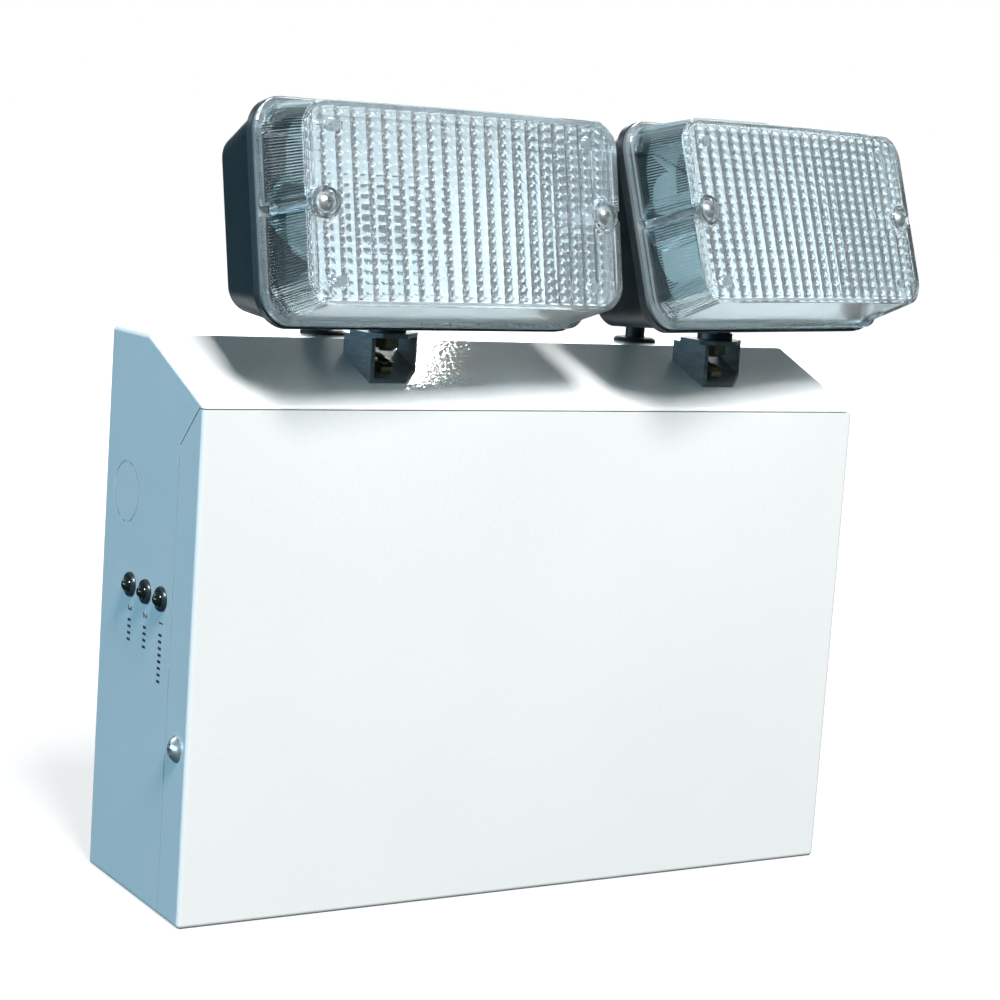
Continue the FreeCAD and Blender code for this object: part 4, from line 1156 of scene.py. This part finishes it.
# %% A lead as two tubes
def lead_curve(side):
    curve = bpy.data.curves.new(f"{side}_lead_route", "CURVE")
    curve.dimensions = "3D"
    curve.resolution_u = 16
    curve.bevel_depth = LEAD_R
    curve.bevel_resolution = 8
    curve.use_fill_caps = True
    spline = curve.splines.new("NURBS")
    route = lead_route(side)
    spline.points.add(len(route) - 1)
    for point, spot in zip(spline.points, route):
        point.co = (*spot, 1)
    spline.order_u = 3
    spline.use_endpoint_u = True
    holder = bpy.data.objects.new(curve.name, curve)
    bpy.context.scene.collection.objects.link(holder)
    bpy.context.view_layer.update()
    tube = bpy.data.meshes.new_from_object(holder.evaluated_get(bpy.context.evaluated_depsgraph_get()))
    bpy.data.objects.remove(holder)
    bpy.data.curves.remove(curve)
    return tube


def lead_half(tube, middle, along):
    """The part of the tube on the far side of a plane, closed where it was cut."""
    bm = bmesh.new()
    bm.from_mesh(tube)
    bmesh.ops.remove_doubles(bm, verts=bm.verts, dist=1e-6)
    everything = bm.verts[:] + bm.edges[:] + bm.faces[:]
    bmesh.ops.bisect_plane(bm, geom=everything, plane_co=middle, plane_no=along, clear_inner=True, dist=1e-7)
    bmesh.ops.holes_fill(bm, edges=[e for e in bm.edges if e.is_boundary], sides=0)
    bmesh.ops.recalc_face_normals(bm, faces=bm.faces)
    return bm


def keep_lead(bm, name, bodies, stands_for):
    mesh = bpy.data.meshes.new(name)
    bm.to_mesh(mesh)
    bm.free()
    mesh.shade_smooth()
    mesh.materials.append(LEAD_BLACK)
    piece = bpy.data.objects.new(name, mesh)
    bpy.context.scene.collection.objects.link(piece)
    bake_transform(piece)
    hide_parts(stands_for)
    print(name, len(mesh.polygons), "faces, bends between", bodies)


# %% Grommet and boot
def rubber_grommet(side):
    ring = [(3.65 * MM, -3.1 * MM), (7.6 * MM, -3.1 * MM), (7.9 * MM, -2.6 * MM), (7.9 * MM, -1.55 * MM),
            (5.75 * MM, -1.55 * MM), (5.75 * MM, 0.02 * MM), (7.9 * MM, 0.02 * MM), (7.95 * MM, 0.6 * MM),
            (7.4 * MM, 1.3 * MM), (6.6 * MM, 1.6 * MM), (4.6 * MM, 1.6 * MM), (3.9 * MM, 1.3 * MM),
            (3.65 * MM, 0.8 * MM)]
    return stand_up(turned(ring, ring=True), grommet_spot(side), (0, 0, 1))


def lead_boot():
    """A rubber sleeve with four soft rings, thick at the housing and thinner along the lead."""
    profile = [(3.95 * MM, 0), (7.1 * MM, 0), (7.1 * MM, 1.0 * MM)]
    for i in range(4):
        wide, foot = (6.9 - 0.45 * i) * MM, (1.4 + 1.7 * i) * MM
        profile += [(wide - 0.8 * MM, foot), (wide - 0.8 * MM, foot + 0.4 * MM), (wide, foot + 0.8 * MM),
                    (wide - 0.1 * MM, foot + 1.3 * MM)]
    profile += [(4.6 * MM, 8.0 * MM), (3.95 * MM, 8.0 * MM)]
    return stand_up(turned(profile, ring=True), (0, HOUSING_BACK, LEAD_UP - HEAD_UP), (0, 1, 0))


# %% Leads in place
for side in SIDES:
    keep_piece(into_head(lead_boot(), side), f"{side}_lead_boot", LEAD_BLACK, f"{side}_head",
               [f"{side}_boot"])
    tube = lead_curve(side)
    exit_spot, _, corner, above_hole, _ = lead_route(side)
    middle = corner * 0.5 + (exit_spot + above_hole) * 0.25
    along = (exit_spot - above_hole).normalized()
    keep_lead(lead_half(tube, middle, along), f"{side}_lead_upper", (f"{side}_swivel", f"{side}_head"),
              f"{side}_lead")
    keep_lead(lead_half(tube, middle, -along), f"{side}_lead_lower", ("cabinet", f"{side}_swivel"),
              f"{side}_lead")
    bpy.data.meshes.remove(tube)
    keep_piece(rubber_grommet(side), f"{side}_rubber_grommet", LEAD_BLACK, "cabinet",
               [f"{side}_grommet"])

# %% Update the view layer
bpy.context.view_layer.update()
